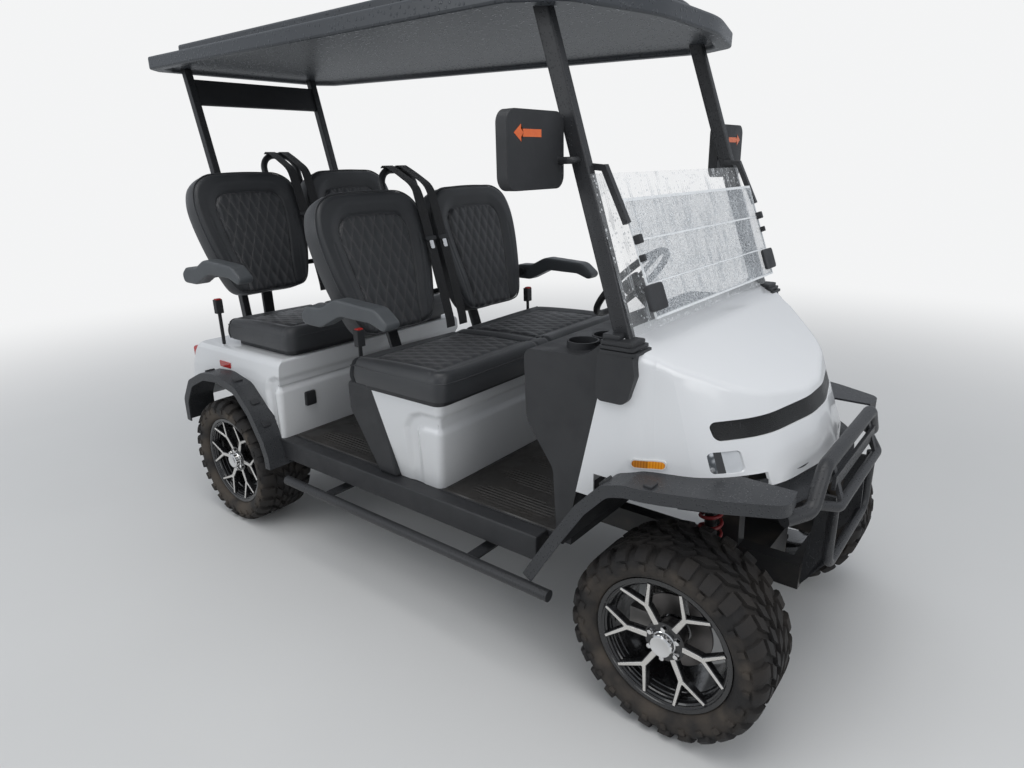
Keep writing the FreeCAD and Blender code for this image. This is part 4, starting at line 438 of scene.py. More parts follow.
def spoke_bar(start, end, wide, narrow, deep, proud, chamfer):
    """A tapering bar from start to end (x, z) that follows the spokes' rise: its ring is a
    chamfered oblong, proud of the face and deep behind it."""
    share = np.linspace(0, 1, 5)[:, None]
    middle = np.array(start, float) * (1 - share) + np.array(end, float) * share
    out = np.interp(np.linalg.norm(middle, axis=1), *np.array(SPOKE_RISE).T)
    way = (middle[-1] - middle[0]) / np.linalg.norm(middle[-1] - middle[0])
    aside = np.array([way[1], -way[0]])
    half = (wide * (1 - share) + narrow * share) / 2
    # side from the middle as a share of the half width, less a chamfer, and depth
    ring = ((-1, 0, -deep), (-1, 0, proud - chamfer), (-1, chamfer, proud), (1, chamfer, proud),
            (1, 0, proud - chamfer), (1, 0, -deep))
    columns = []
    for hand, less, depth in ring:
        flat = middle + aside * hand * (half - less)
        columns.append(np.stack([flat[:, 0], out + depth, flat[:, 1]], -1))
    return shut(np.stack(columns, 1))


def spoke_set(stem_wide, arm_wide, deep, proud, chamfer):
    """The six forked spokes: a stem to the fork and two arms on to the lip, turned six times."""
    bars = []
    for number in range(SPOKES):
        angle = (number + 0.5) * 2 * math.pi / SPOKES
        spin = np.array([[math.cos(angle), math.sin(angle)], [-math.sin(angle), math.cos(angle)]])
        fork, root = np.array([0, FORK_RADIUS]) @ spin, np.array([0, SPOKE_ROOT]) @ spin
        bars.append(spoke_bar(root, fork, stem_wide, stem_wide - SPOKE_TAPER, deep, proud, chamfer))
        for hand in (-1, 1):
            tip = np.array([hand * SPOKE_SPREAD, math.sqrt(SPOKE_REACH ** 2 - SPOKE_SPREAD ** 2)]) @ spin
            start = np.array([hand * ARM_START, FORK_RADIUS - ARM_OVERLAP]) @ spin
            bars.append(spoke_bar(start, tip, arm_wide, arm_wide - SPOKE_TAPER, deep, proud, chamfer))
    return bars


cap = lathed([(HUB_FACE + across, radius) for across, radius in CAP])
nut = lathed([(HUB_FACE + across, radius) for across, radius in NUT], 6)
nuts = [nut + np.array([NUT_CIRCLE * math.sin(angle), 0, NUT_CIRCLE * math.cos(angle)])
        for angle in np.arange(NUTS) * 2 * math.pi / NUTS]
for corner, place in WHEEL_PLACES.items():
    side, body = np.array([1, -1 if corner.endswith("right") else 1, 1]), "wheel_" + corner

    def mounted(name, rings, around=False):
        """A mesh of rings made about the wheel's middle, put at this corner of the cart."""
        return grid_mesh(name, [one * side + place for one in rings], around=around, ring=True)

    cast = joined(mounted("rim", [lathed(BARREL, 72)], True), mounted("hub", [lathed(HUB)]),
                  mounted("spokes", spoke_set(*CAST_SPOKES)))
    add_piece("rim_spoked_" + corner, cast, rim_finish, body, ("rim_" + corner,), 32)
    add_piece("spoke_faces_" + corner, mounted("spoke_faces", spoke_set(*SPOKE_FACES)), machined, body,
              (), 20)
    add_piece("hub_cap_" + corner, joined(mounted("cap", [cap]), mounted("nuts", nuts)), plated, body,
              (), 30)
    add_piece("brake_disc_" + corner, mounted("disc", [lathed(DISC)], True), disc_finish, body,
              (), 30)

# Front suspension, steering and rear axle: welded steel arms and tubes in black paint, cast
# knuckles, and the frame's rails, all bolted together under the body.
frame_finish = Finish("black_frame_paint", (0.018, 0.018, 0.019), 0.45)
frame_finish.set("Base Color", frame_finish.mix(frame_finish.ramp(frame_finish.noise(6.0, 6.0), 0.45, 0.75),
                                                (0.016, 0.016, 0.017), (0.075, 0.064, 0.052)))
frame_finish.bump(frame_finish.noise(420.0, 2.0), 0.0006, 0.5)
cast_finish = Finish("cast_metal", (0.30, 0.30, 0.30), 0.5, Metallic=0.8,
                     tones=(14.0, 6.0, (0.16, 0.15, 0.14), (0.42, 0.41, 0.40)))
cast_finish.bump(cast_finish.noise(300.0, 3.0), 0.0008, 0.6)
nodes_made = frame["nodes"]


def coat(node, finish):
    """Gives a CAD node its material."""
    for slot in nodes_made[node].material_slots:
        slot.material = finish.material


for node in ("chassis_rails", "cross_members", "front_arms", "rear_axle", "leaf_springs", "steering_rack",
             "pedals", "battery_pack"):
    coat(node, frame_finish)
for node in ("knuckle_left", "knuckle_right", "tie_rods", "drive_motor"):
    coat(node, cast_finish)

# Coil-overs: a coil of red painted spring wire round a dark damper, between the lower arm and
# the tower of the frame on each side.
low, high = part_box("front_springs")
SPRING_X, SPRING_Y = (low.x + high.x) / 2, high.y - 0.038
SPRING_FOOT, SPRING_HEAD = low.z, high.z
COIL_RADIUS, WIRE_RADIUS, COIL_TURNS = 0.031, 0.0058, 9
COIL_FOOT, COIL_SHORT = 0.085, 0.10
# height over the foot, radius, then the same measured from the head: the damper's tube and rod
DAMPER_FOOT = ((0.0, 0.0), (0.0, 0.024), (0.07, 0.024), (0.072, 0.037), (0.08, 0.037), (0.081, 0.018))
DAMPER_HEAD = ((-0.012, 0.018), (-0.011, 0.037), (0.0, 0.037), (0.0, 0.0))
spring_finish = Finish("red_spring_paint", (0.30, 0.015, 0.02), 0.4,
                       tones=(20.0, 5.0, (0.34, 0.018, 0.022), (0.13, 0.02, 0.02)))
damper_finish = Finish("damper_black", (0.02, 0.02, 0.02), 0.35, Metallic=0.3,
                       wear=(25.0, 4.0, 0.3, 0.7, 0.25, 0.6))


def swept(path, profile, side=(0, 1, 0), closed=False):
    """A profile (side, out) carried along a path; each ring stands square to the path, and the
    ends are drawn in to a point so that they are shut."""
    path, profile = np.asarray(path, float), np.asarray(profile, float)
    if closed:
        ahead_of = np.roll(path, -1, 0) - np.roll(path, 1, 0)
    else:
        ahead_of = np.gradient(path, axis=0)
    ahead_of /= np.linalg.norm(ahead_of, axis=1)[:, None]
    out = np.cross(ahead_of, np.broadcast_to(np.asarray(side, float), ahead_of.shape))
    out /= np.linalg.norm(out, axis=1)[:, None]
    across = np.cross(out, ahead_of)
    rings = path[:, None] + across[:, None] * profile[None, :, :1] + out[:, None] * profile[None, :, 1:]
    if not closed:
        middle = profile.mean(0)
        ends = path + across * middle[0] + out * middle[1]
        rings = np.concatenate([np.repeat(ends[:1, None], len(profile), 1), rings,
                                np.repeat(ends[-1:, None], len(profile), 1)])
    return rings


def round_profile(radius, count):
    """A circle of so many points."""
    turn = np.linspace(0, 2 * math.pi, count, endpoint=False)
    return np.stack([np.cos(turn), np.sin(turn)], 1) * radius


def add_rings(name, rings, finish, replaced=(), smooth=50, around=False, outward=True, ring=True):
    """A piece on the chassis whose mesh is rings along paths."""
    mesh = grid_mesh(name, rings, around=around, ring=ring, outward=outward)
    return add_piece(name, mesh, finish, "chassis", replaced, smooth)


share = np.linspace(0, 1, 480)
wind = share * COIL_TURNS * 2 * math.pi
coil_height = SPRING_FOOT + COIL_FOOT + (SPRING_HEAD - SPRING_FOOT - COIL_SHORT) * share
can = lathed([(SPRING_FOOT + up, radius) for up, radius in DAMPER_FOOT]
             + [(SPRING_HEAD + up, radius) for up, radius in DAMPER_HEAD], 32)
coils, cans = [], []
for hand in (-1, 1):
    helix = np.stack([SPRING_X + COIL_RADIUS * np.cos(wind), hand * SPRING_Y + COIL_RADIUS * np.sin(wind),
                      coil_height], 1)
    coils.append(swept(helix, round_profile(WIRE_RADIUS, 8), (0, 0, 1)))
    cans.append(np.stack([can[..., 0] + SPRING_X, can[..., 2] + hand * SPRING_Y, can[..., 1]], -1))
add_rings("spring_coils", coils, spring_finish, ("front_springs",), 60)
add_rings("damper_bodies", cans, damper_finish, (), 40)

# Body: white moulded shells with a deep gloss, clipped over the frame: the cowl with its hood
# and nose, the base under the front bench, and the rear body with its arches.
white_finish = Finish("white_gloss_body", (0.80, 0.81, 0.82), 0.16, Coat_Weight=0.5, Coat_Roughness=0.05)
height = white_finish.along(2)
grime = white_finish.noise(3.0, 6.0) * white_finish.ramp(height, 0.85, 0.45)
# faces marked inside are painted near-black: painted shade where the shells' inner and lower faces lie in
# shadow
inside = white_finish.node("ShaderNodeAttribute", {"attribute_name": "inside"}, {}, "Fac")
outer_white = white_finish.mix(grime * 0.5, (0.80, 0.81, 0.82), (0.60, 0.60, 0.58))
white_finish.set("Base Color", white_finish.mix(inside, outer_white, (0.020, 0.020, 0.021)))
gloss = white_finish.ramp(white_finish.noise(5.0, 5.0), 0.35, 0.7, 0.12, 0.26)
white_finish.set("Roughness", gloss + inside * 0.5)
white_finish.bump(white_finish.noise(7.0, 2.0), 0.0012, 0.2)
body_of_node = {node: body for body, nodes in frame["record"]["behaviour"]["bodies"].items() for node in nodes}


def dressed(node, finish, soften=0.0, smooth=35.0, steps=2):
    """A welded copy of a CAD node, its edges rounded by soften, which stands for that node."""
    mesh = nodes_made[node].data.copy()
    shaped = bmesh.new()
    shaped.from_mesh(mesh)
    bmesh.ops.remove_doubles(shaped, verts=shaped.verts, dist=2e-5)
    bmesh.ops.dissolve_limit(shaped, angle_limit=math.radians(0.6), verts=shaped.verts, edges=shaped.edges)
    shaped.to_mesh(mesh)
    shaped.free()
    piece = add_piece(node + "_skin", mesh, finish, body_of_node[node], (node,), smooth)
    if soften:
        rounding = piece.modifiers.new("rounding", "BEVEL")
        rounding.width, rounding.segments = soften, steps
        rounding.limit_method, rounding.angle_limit = "ANGLE", math.radians(smooth)
    return piece


def step_up(value, low, high):
    """Rises smoothly from 0 at low to 1 at high: 3t squared less 2t cubed."""
    t = np.clip((value - low) / (high - low), 0, 1)
    return t * t * (3 - 2 * t)


def from_line(x, z, line):
    """The least distance of points from a line of straight runs."""
    start, run = line[:-1], np.diff(line, axis=0)
    off_x, off_z = x[:, None] - start[:, 0], z[:, None] - start[:, 1]
    share = np.clip((off_x * run[:, 0] + off_z * run[:, 1]) / (run ** 2).sum(1), 0, 1)
    return np.hypot(off_x - share * run[:, 0], off_z - share * run[:, 1]).min(1)


def read_out(elements, what):
    """A vector of every element of a mesh, one row each."""
    values = np.empty(len(elements) * 3)
    elements.foreach_get(what, values)
    return values.reshape(-1, 3)


UPRIGHT_ROUND, CHANNEL_DEPTH, SLOPE_IN, SLOPE_OUT = 0.026, 0.014, 0.016, 0.012


def channelled(shell, face, line, half_wide, depth):
    """Rounds a shell's front uprights and presses a channel into its walls. The walls are cut into
    a fine net, and each corner moves inwards by the depth times a smooth step of its distance
    from the channel's line, drawn in (distance back from the front face, height)."""
    front_x, front_z, lean = face
    line = np.asarray(line, float)
    shaped = bmesh.new()
    shaped.from_mesh(shell)
    upright = []
    for edge in shaped.edges:
        rise = abs((edge.verts[0].co - edge.verts[1].co).z)
        if (edge.is_manifold and rise > 0.15 and rise > 0.9 * edge.calc_length()
                and edge.calc_face_angle() > 0.8 and min(vert.co.x for vert in edge.verts) > front_x - 0.09):
            upright.append(edge)
    bmesh.ops.bevel(shaped, geom=upright, offset=UPRIGHT_ROUND, segments=6, profile=0.5, affect="EDGES")
    heights = np.arange(line[:, 1].min() + 0.02, line[:, 1].max() + 0.05, 0.006)
    levels = [((0, 0, height), (0, 0, 1)) for height in heights]
    levels += [((x, 0, 0), (1, 0, 0)) for x in np.arange(front_x - 0.25, front_x - 0.03, 0.005)]
    for place, facing in levels:
        bmesh.ops.bisect_plane(shaped, geom=shaped.verts[:] + shaped.edges[:] + shaped.faces[:],
                               plane_co=place, plane_no=facing)
    # doubled corners would give the bevel that follows corners without a place
    bmesh.ops.remove_doubles(shaped, verts=shaped.verts, dist=0.0001)
    bmesh.ops.dissolve_degenerate(shaped, dist=0.0001, edges=shaped.edges)
    shaped.to_mesh(shell)
    shaped.free()
    corners, facing = read_out(shell.vertices, "co"), read_out(shell.vertices, "normal") * [1.0, 1.0, 0.0]
    size = np.linalg.norm(facing, axis=1)[:, None]
    facing = np.where(size > 0.3, facing / np.maximum(size, 0.3), 0.0)
    middle = np.array([front_x - 0.20, 0.0, 0.0])
    outer = np.sign(((corners - middle) * facing).sum(1))
    behind = front_x - lean * (front_z - corners[:, 2]) - corners[:, 0]
    pressed = 1 - step_up(from_line(behind, corners[:, 2], line), half_wide - SLOPE_IN, half_wide + SLOPE_OUT)
    pressed *= 0.35 + 0.65 * step_up(corners[:, 2], line[-1, 1] + 0.04, line[0, 1] - 0.08)
    corners -= facing * (outer * pressed * depth)[:, None]
    shell.vertices.foreach_set("co", corners.ravel())
    shell.update()
    shell.set_sharp_from_angle(angle=math.radians(50))


# node: its front face (x and height of its top, lean), and its channel's line and half width
CHANNELS = {"front_seat_base": ((0.2995, 0.800, 0.188), ((-0.3, 0.726), (0.095, 0.726), (0.128, 0.712),
                                                         (0.145, 0.680), (0.118, 0.440)), 0.030),
            "rear_body": ((-0.6403, 0.801, 0.076), ((-0.3, 0.706), (0.030, 0.706), (0.058, 0.694),
                                                    (0.070, 0.665), (0.045, 0.440)), 0.027)}
for node, soften in (("cowl", 0.0), ("front_seat_base", 0.010), ("rear_body", 0.004)):
    piece = dressed(node, white_finish, soften, 28, 3)
    shell = piece.data
    if node in CHANNELS:
        channelled(shell, *CHANNELS[node], CHANNEL_DEPTH)
        piece.modifiers["rounding"].angle_limit = math.radians(55)
    middles, facing = read_out(shell.polygons, "center"), read_out(shell.polygons, "normal")
    # faces painted near-black as painted shade: those that look to the cart's middle plane, down, or back from
    # behind the nose
    shade_painted_faces = (facing[:, 1] * np.sign(middles[:, 1]) < -0.3) | (facing[:, 2] < -0.95)
    if node == "cowl":
        shade_painted_faces |= (facing[:, 0] < -0.3) & (middles[:, 0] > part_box(node)[1].x - 0.25)
    shell.attributes.new("inside", "FLOAT", "FACE").data.foreach_set("value", shade_painted_faces.astype(np.float32))

# Black moulded trim: the dash, the panel behind the bench, boots at the feet of the pillars
# and the trays under the cushions, all in grained plastic.
BOOT_RIBS_TALL = 0.036
trim_finish = Finish("grained_black_plastic", (0.022, 0.023, 0.025), 0.5,
                     tones=(5.0, 5.0, (0.018, 0.019, 0.021), (0.034, 0.035, 0.038)),
                     wear=(11.0, 5.0, 0.35, 0.7, 0.42, 0.62))
trim_finish.bump(trim_finish.cells(700.0), 0.0006, 0.5)
for node, soften in (("dash", 0.006), ("seat_base_back", 0.008), ("pillar_boots", 0.007),
                     ("cushion_trays", 0.004), ("sill_rails", 0.006), ("floor_pan", 0.002),
                     ("rear_cross_panel", 0.003)):
    moulded = dressed(node, trim_finish, soften, 30, 3)
    if node == "pillar_boots":
        low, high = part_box(node)
        for corner in moulded.data.vertices:
            corner.co.z -= BOOT_RIBS_TALL * (corner.co.z > high.z - 0.03)

# Fender flares: thick black plastic skins bolted round each wheel arch, beaded with rain.
wet_finish = Finish("wet_black_plastic", (0.030, 0.032, 0.035), 0.42,
                    tones=(8.0, 5.0, (0.024, 0.026, 0.029), (0.046, 0.048, 0.052)))


def rained_on(finish, scale, share, dry, wet, grain, grain_scale, distance, strength):
    """Beads of rain over a grained skin: each bead is smooth and stands up, the rest is dull."""
    beads = finish.droplets(scale, share)
    finish.set("Roughness", finish.ramp(beads, 0.0, 0.6, dry, wet))
    finish.bump(beads + grain * finish.noise(grain_scale, 2.0), distance, strength)


rained_on(wet_finish, 150.0, 0.5, 0.46, 0.10, 0.12, 500.0, 0.0014, 0.8)
dressed("fender_flares", wet_finish, 0.005, 30, 3)

# Steel work in black powder coat: the brush guard, step bars, struts, pillars and seat hoops.
tube_finish = Finish("black_powder_coat", (0.020, 0.021, 0.023), 0.40,
                     tones=(9.0, 5.0, (0.017, 0.018, 0.020), (0.036, 0.037, 0.040)))
rained_on(tube_finish, 170.0, 0.45, 0.42, 0.12, 0.3, 600.0, 0.0010, 0.7)
for node in ("brush_guard", "step_bars", "rear_struts", "front_pillars", "seat_frames"):
    dressed(node, tube_finish, 0.003 if node in ("rear_struts", "front_pillars") else 0.0, 40)

# Roof: one moulded charcoal panel with a raised middle, wet with rain, screwed to the struts.
roof_finish = Finish("charcoal_roof", (0.045, 0.050, 0.056), 0.38,
                     tones=(4.0, 5.0, (0.038, 0.043, 0.050), (0.060, 0.066, 0.074)))
rained_on(roof_finish, 75.0, 0.55, 0.36, 0.12, 0.1, 300.0, 0.0020, 0.7)
dressed("roof", roof_finish, 0.012, 30, 3)

# Seats: foam pads covered in black vinyl. Each has a quilted middle of diamonds sewn with twin
# pale threads, smooth bolsters round it, piping along its edges and a boxing band at its sides.
DIAMOND_WIDE, DIAMOND_TALL = 0.050, 0.105
PIPING_RADIUS, BAND_ROWS, UNDER_ROWS = 0.0032, 9, 8
vinyl = Finish("black_vinyl", (0.028, 0.030, 0.033), 0.42, Sheen_Weight=0.15)
surface = vinyl.node("ShaderNodeUVMap", {"uv_map": "surface"}, {})
wear = vinyl.noise(7.0, 5.0)
vinyl.set("Roughness", vinyl.ramp(wear, 0.3, 0.7, 0.34, 0.52))
leather = vinyl.cells(420.0, feature="DISTANCE_TO_EDGE")
sewn_u, sewn_v = vinyl.along(0, surface), vinyl.along(1, surface)
panel = vinyl.along(0, vinyl.node("ShaderNodeUVMap", {"uv_map": "panel"}, {})) > 0.003
# twin threads run each side of the two families of stitch lines between the diamonds
near_stitch = []
for sign in (1.0, -1.0):
    across_stitch = sewn_u / DIAMOND_WIDE + sign * sewn_v / DIAMOND_TALL
    phase = vinyl.maths("PINGPONG", across_stitch, 0.5)
    near_stitch.append(vinyl.ramp(abs(phase - 0.055), 0.022, 0.008))
threads = vinyl.maths("MAXIMUM", *near_stitch) * panel
vinyl_tones = vinyl.mix(wear, (0.022, 0.024, 0.027), (0.040, 0.042, 0.046))
vinyl.set("Base Color", vinyl.mix(threads * 0.55, vinyl_tones, (0.16, 0.15, 0.15)))
vinyl.bump(leather + threads * 0.6, 0.0012, 0.35)


def quilted(u, v, inside, tall):
    """The quilt's height inside a panel's seam: the root of the product of two rectified sines,
    0 on two crossing families of slanted stitch lines, and full in the middle of a diamond."""
    first, second = u / DIAMOND_WIDE + v / DIAMOND_TALL, u / DIAMOND_WIDE - v / DIAMOND_TALL
    diamonds = np.abs(np.sin(math.pi * first)) * np.abs(np.sin(math.pi * second))
    return tall * np.sqrt(diamonds) * step_up(inside, 0.0, 0.014)


def groove(distance, deep, wide):
    """A seam: a bell curve of the distance from it, sunk by its depth."""
    return -deep * np.exp(-(distance / wide) ** 2)


def pad_points(outline, centre, top, back, depth, bulge, edge, rows):
    """A pad's surface in its own frame (u, v, w): rings from the centre of the top out to the
    outline, down the band and in over the back. The top's height is a function of u and v."""
    outline, centre = np.asarray(outline, float), np.asarray(centre, float)
    share = np.linspace(0, 1, rows)[:, None, None]
    flat = centre + (outline - centre)[None] * share
    width = np.linalg.norm(outline - centre, axis=1)[None, :]
    near_edge = np.clip((share[..., 0] - 1) * width + edge, 0, edge) / edge
    heights = top(flat[..., 0], flat[..., 1]) - edge * (1 - np.sqrt(1 - near_edge ** 2 * 0.98))
    front = np.dstack([flat, heights])
    away = outline - centre
    away /= np.linalg.norm(away, axis=1)[:, None]
    down_band = np.linspace(0, 1, BAND_ROWS + 2)[1:-1, None, None]
    side = outline[None] + away[None] * bulge * np.sin(math.pi * down_band)
    side_w = front[-1, :, 2][None] * (1 - down_band[..., 0]) + back * down_band[..., 0]
    sides = np.dstack([side, side_w])
    inward = np.linspace(1, 0, UNDER_ROWS)[:, None, None]
    under = centre + (outline - centre)[None] * inward
    behind = np.dstack([under, np.broadcast_to(back - depth * (1 - inward[..., 0] ** 4), under.shape[:2])])
    return np.concatenate([front, sides, behind])


def in_place(points, origin, u_axis, v_axis, w_axis):
    """Points of a pad's own frame, put into the cart: origin + u, v and w along their axes."""
    axes = np.array([u_axis, v_axis, w_axis], float)
    return np.asarray(origin, float) + points @ axes


BACK_CENTRE_Y, BACK_LEAN, BACK_ROWS = 0.290, math.radians(16), 64
BACK_HALF_OUTLINE = ((0.0, 0.004), (0.120, 0.004), (0.178, 0.026), (0.212, 0.100), (0.243, 0.220),
                     (0.262, 0.340), (0.262, 0.425), (0.236, 0.495), (0.175, 0.534), (0.090, 0.541),
                     (0.0, 0.543))
PANEL_TOP, PANEL_ROUND = 0.458, 0.062


def back_panel(u, v):
    """How far inside the quilted panel's seam a point lies, and the panel's half width there."""
    half_panel = 0.122 + 0.045 * step_up(v, 0.02, 0.38)
    aside, above = np.abs(u) - (half_panel - PANEL_ROUND), v - (PANEL_TOP - PANEL_ROUND) + 0.25 * u ** 2
    beyond = np.hypot(np.maximum(aside, 0), np.maximum(above, 0)) + np.minimum(np.maximum(aside, above), 0)
    return np.minimum(PANEL_ROUND - beyond, v + 0.05), half_panel


def back_front(u, v):
    """The front of a backrest: bolsters stand proud, the quilted panel lies inside a seam."""
    inside, half_panel = back_panel(u, v)
    quilt, seam = quilted(u, v, inside, 0.0055), groove(inside, 0.0065, 0.0045)
    bolster = 0.012 * step_up(-inside, 0.0, 0.05)
    fold = groove(np.abs(u) - (half_panel + 0.045), 0.003, 0.004) * (v < 0.36)
    crown = 0.006 * np.cos(np.clip(v / 0.54, 0, 1) * math.pi - math.pi / 2)
    return -0.016 + quilt + seam + bolster + fold + crown


def both_halves(half, count):
    """A closed outline from its right half: the same points mirrored, in even steps."""
    return resampled(list(half) + [(-u, v) for u, v in reversed(half[1:-1])], count, True)


def piped(outline, height, origin, v_axis, w_axis):
    """A cord of piping round an outline, at a height of the pad's own frame."""
    raised = np.column_stack([outline, np.full(len(outline), height)])
    line = in_place(raised, origin, (0, 1, 0), v_axis, w_axis)
    return swept(line, round_profile(PIPING_RADIUS, 8), w_axis, closed=True)


def sewn_maps(points, rows, inside):
    """The pad's own maps: its u and v, and how far inside the panel's seam its top lies."""
    top = (np.arange(len(points)) < rows)[:, None]
    return points[..., :2], np.dstack([np.where(top, inside, -1.0)] * 2)


outline = both_halves(BACK_HALF_OUTLINE, 300)
lean_up = (-math.sin(BACK_LEAN), 0, math.cos(BACK_LEAN))
lean_out = (math.cos(BACK_LEAN), 0, math.sin(BACK_LEAN))
# row: foot of its backrests ahead of the rear axle, height of the foot
SEAT_ROWS = (("front", 0.868, 0.968), ("rear", 0.016, 1.048))
shield = pad_points(outline, (0, 0.27), back_front, -0.088, 0.012, 0.004, 0.022, BACK_ROWS)
shield_maps = sewn_maps(shield, BACK_ROWS, back_panel(shield[..., 0], shield[..., 1])[0])
back_pipes = []
for row, foot_x, foot_z in SEAT_ROWS:
    origins = [(foot_x + REAR_AXLE_X, hand * BACK_CENTRE_Y, foot_z) for hand in (-1, 1)]
    backs = [in_place(shield, origin, (0, 1, 0), lean_up, lean_out) for origin in origins]
    back_pipes += [piped(outline, -0.014, origin, lean_up, lean_out) for origin in origins]
    mesh = grid_mesh("backs", backs, ring=True, uv={"surface": np.concatenate([shield_maps[0]] * 2),
                                                    "panel": np.concatenate([shield_maps[1]] * 2)})
    pads = add_piece("backrest_pads_" + row, mesh, vinyl, "chassis", ("backrests_" + row,), 60)
add_rings("backrest_piping", back_pipes, vinyl, (), 60, around=True)

# Bench cushions: one long foam pad per row on its black tray, with two quilted panels and a
# plain strap between them, a thick rolled front edge, and piping round its top.
# row: front edge ahead of the rear axle, underside, depth, half width
BENCHES = (("front", 1.345, 0.8223, 0.462, 0.575), ("rear", 0.380, 0.8343, 0.490, 0.490))
BENCH_ROWS, FRONT_CORNER, BACK_CORNER = 70, 0.060, 0.045


def bench_panel(u, v, depth, half):
    """How far inside the nearer quilted panel's seam a point of a bench lies."""
    return np.minimum(np.minimum(np.abs(u) - 0.052, half - 0.075 - np.abs(u)),
                      np.minimum(v - 0.055, depth - 0.085 - v))


def bench_top(depth, half):
    def heights(u, v):
        """The top of a bench: two quilted panels, seams round them, and a strap in the middle."""
        inside = bench_panel(u, v, depth, half)
        quilt, seam = quilted(u, v, inside, 0.005), groove(inside, 0.0055, 0.0045)
        strap = groove(np.abs(u) - 0.040, 0.006, 0.005) - 0.004 * (np.abs(u) < 0.040)
        nose = groove(v - depth + 0.060, 0.004, 0.004)
        crown = 0.010 * step_up(-inside, 0.0, 0.05) + 0.006 * np.sin(np.clip(v / depth, 0, 1) * math.pi)
        return 0.082 + 0.012 * v / depth + quilt + seam + strap + nose + crown
    return heights


bench_pipes = []
for row, front_x, underside, depth, half in BENCHES:
    plan = [(0, 0.002), (half - BACK_CORNER, 0.002), (half - 0.012, 0.014), (half - 0.002, BACK_CORNER),
            (half - 0.002, depth * 0.5), (half - 0.002, depth - FRONT_CORNER - 0.02),
            (half - 0.016, depth - 0.022), (half - FRONT_CORNER - 0.02, depth - 0.003), (half * 0.5, depth),
            (0, depth)]
    outline = both_halves(plan, 400)
    bench = pad_points(outline, (0, depth / 2), bench_top(depth, half), 0.003, 0.0, 0.006, 0.034, BENCH_ROWS)
    origin = (front_x - depth + REAR_AXLE_X, 0, underside)
    placed = in_place(bench, origin, (0, 1, 0), (1, 0, 0), (0, 0, 1))
    maps = sewn_maps(bench, BENCH_ROWS, bench_panel(bench[..., 0], bench[..., 1], depth, half))
    mesh = grid_mesh("bench", placed, ring=True, uv={"surface": maps[0], "panel": maps[1]})
    pad = add_piece("bench_pad_" + row, mesh, vinyl, "chassis", ("cushion_" + row,), 60)
    bench_pipes.append(piped(outline, 0.066, origin, (1, 0, 0), (0, 0, 1)))
add_rings("bench_piping", bench_pipes, vinyl, (), 60, around=True)

# Armrests: one-piece grey moulded foam with a skin, turning on a pin beside each backrest.
arm_finish = Finish("grey_moulded_foam", (0.075, 0.082, 0.088), 0.42,
                    tones=(9.0, 5.0, (0.062, 0.069, 0.075), (0.095, 0.102, 0.108)),
                    wear=(14.0, 4.0, 0.3, 0.7, 0.34, 0.50))
arm_finish.bump(arm_finish.cells(500.0), 0.0005, 0.35)
for corner in CORNERS:
    arm = dressed("armrest_" + corner, arm_finish, 0.008, 50, 2)
    skin = arm.modifiers.new("skin", "REMESH")
    skin.mode, skin.voxel_size, skin.use_smooth_shade = "VOXEL", 0.0035, True
    softened = arm.modifiers.new("softened", "SMOOTH")
    softened.factor, softened.iterations = 0.5, 26

# Shoulder belts: woven black webbing from the hoop down the inner edge of each backrest, each
# with a steel tongue in a black plastic bar, and a buckle with a red button on a stalk.
BELT_Y, BELT_HALF, BELT_THICK = 0.038, 0.024, 0.0022
HOOP_TOP, HOOP_BACK = 0.655, -0.131
# the strap's way: over the guide on the hoop (back, up), then up along the backrest and out from it
BELT_GUIDE = ((-0.017, 0.008), (-0.004, 0.0175), (0.012, 0.014))
BELT_DOWN = ((0.60, -0.045), (0.54, 0.004), (0.45, 0.012), (0.30, 0.013), (0.12, 0.012), (0.0, 0.010),
             (-0.045, 0.004))
BUCKLE_Y, BUCKLE_BACK, BUCKLE_RISE = 0.512, 0.010, 0.1847
web_finish = Finish("black_webbing", (0.012, 0.012, 0.013), 0.75, Sheen_Weight=0.2)
web_y, web_z = web_finish.along(1), web_finish.along(2)
weave = web_finish.sines(web_z, 4200.0) * web_finish.sines(web_y, 3600.0)
web_finish.set("Base Color", web_finish.mix(web_finish.ramp(weave, -1.0, 1.0), (0.007, 0.007, 0.008),
                                            (0.022, 0.022, 0.024)))
web_finish.bump(weave, 0.0004, 0.6)
button_finish = Finish("red_button", (0.55, 0.02, 0.015), 0.35, wear=(80.0, 3.0, 0.3, 0.7, 0.25, 0.45))


def on_back(up_along, out, foot_x, foot_z):
    """A point (x, z) of a backrest: up along it from its foot, and out from its front."""
    x = foot_x + REAR_AXLE_X - up_along * math.sin(BACK_LEAN) + out * math.cos(BACK_LEAN)
    return x, foot_z + up_along * math.cos(BACK_LEAN) + out * math.sin(BACK_LEAN)


def block(centre, half_sizes, up=lean_up, out=lean_out, chamfer=0.12):
    """A small rounded block: a superellipsoid, whose sines and cosines are raised to a power."""
    polar = np.linspace(-math.pi / 2, math.pi / 2, 13)[:, None]
    azimuth = np.linspace(0, 2 * math.pi, 24, endpoint=False)[None, :]

    def eased(value):
        return np.sign(value) * np.abs(value) ** (2 * chamfer)

    around = [eased(np.cos(azimuth)), eased(np.sin(azimuth))]
    shape = np.stack([eased(np.cos(polar)) * around[0], eased(np.cos(polar)) * around[1],
                      eased(np.sin(polar)) + 0 * azimuth], -1) * np.asarray(half_sizes)
    return np.asarray(centre) + shape @ np.array([(0, 1, 0), up, out], float)


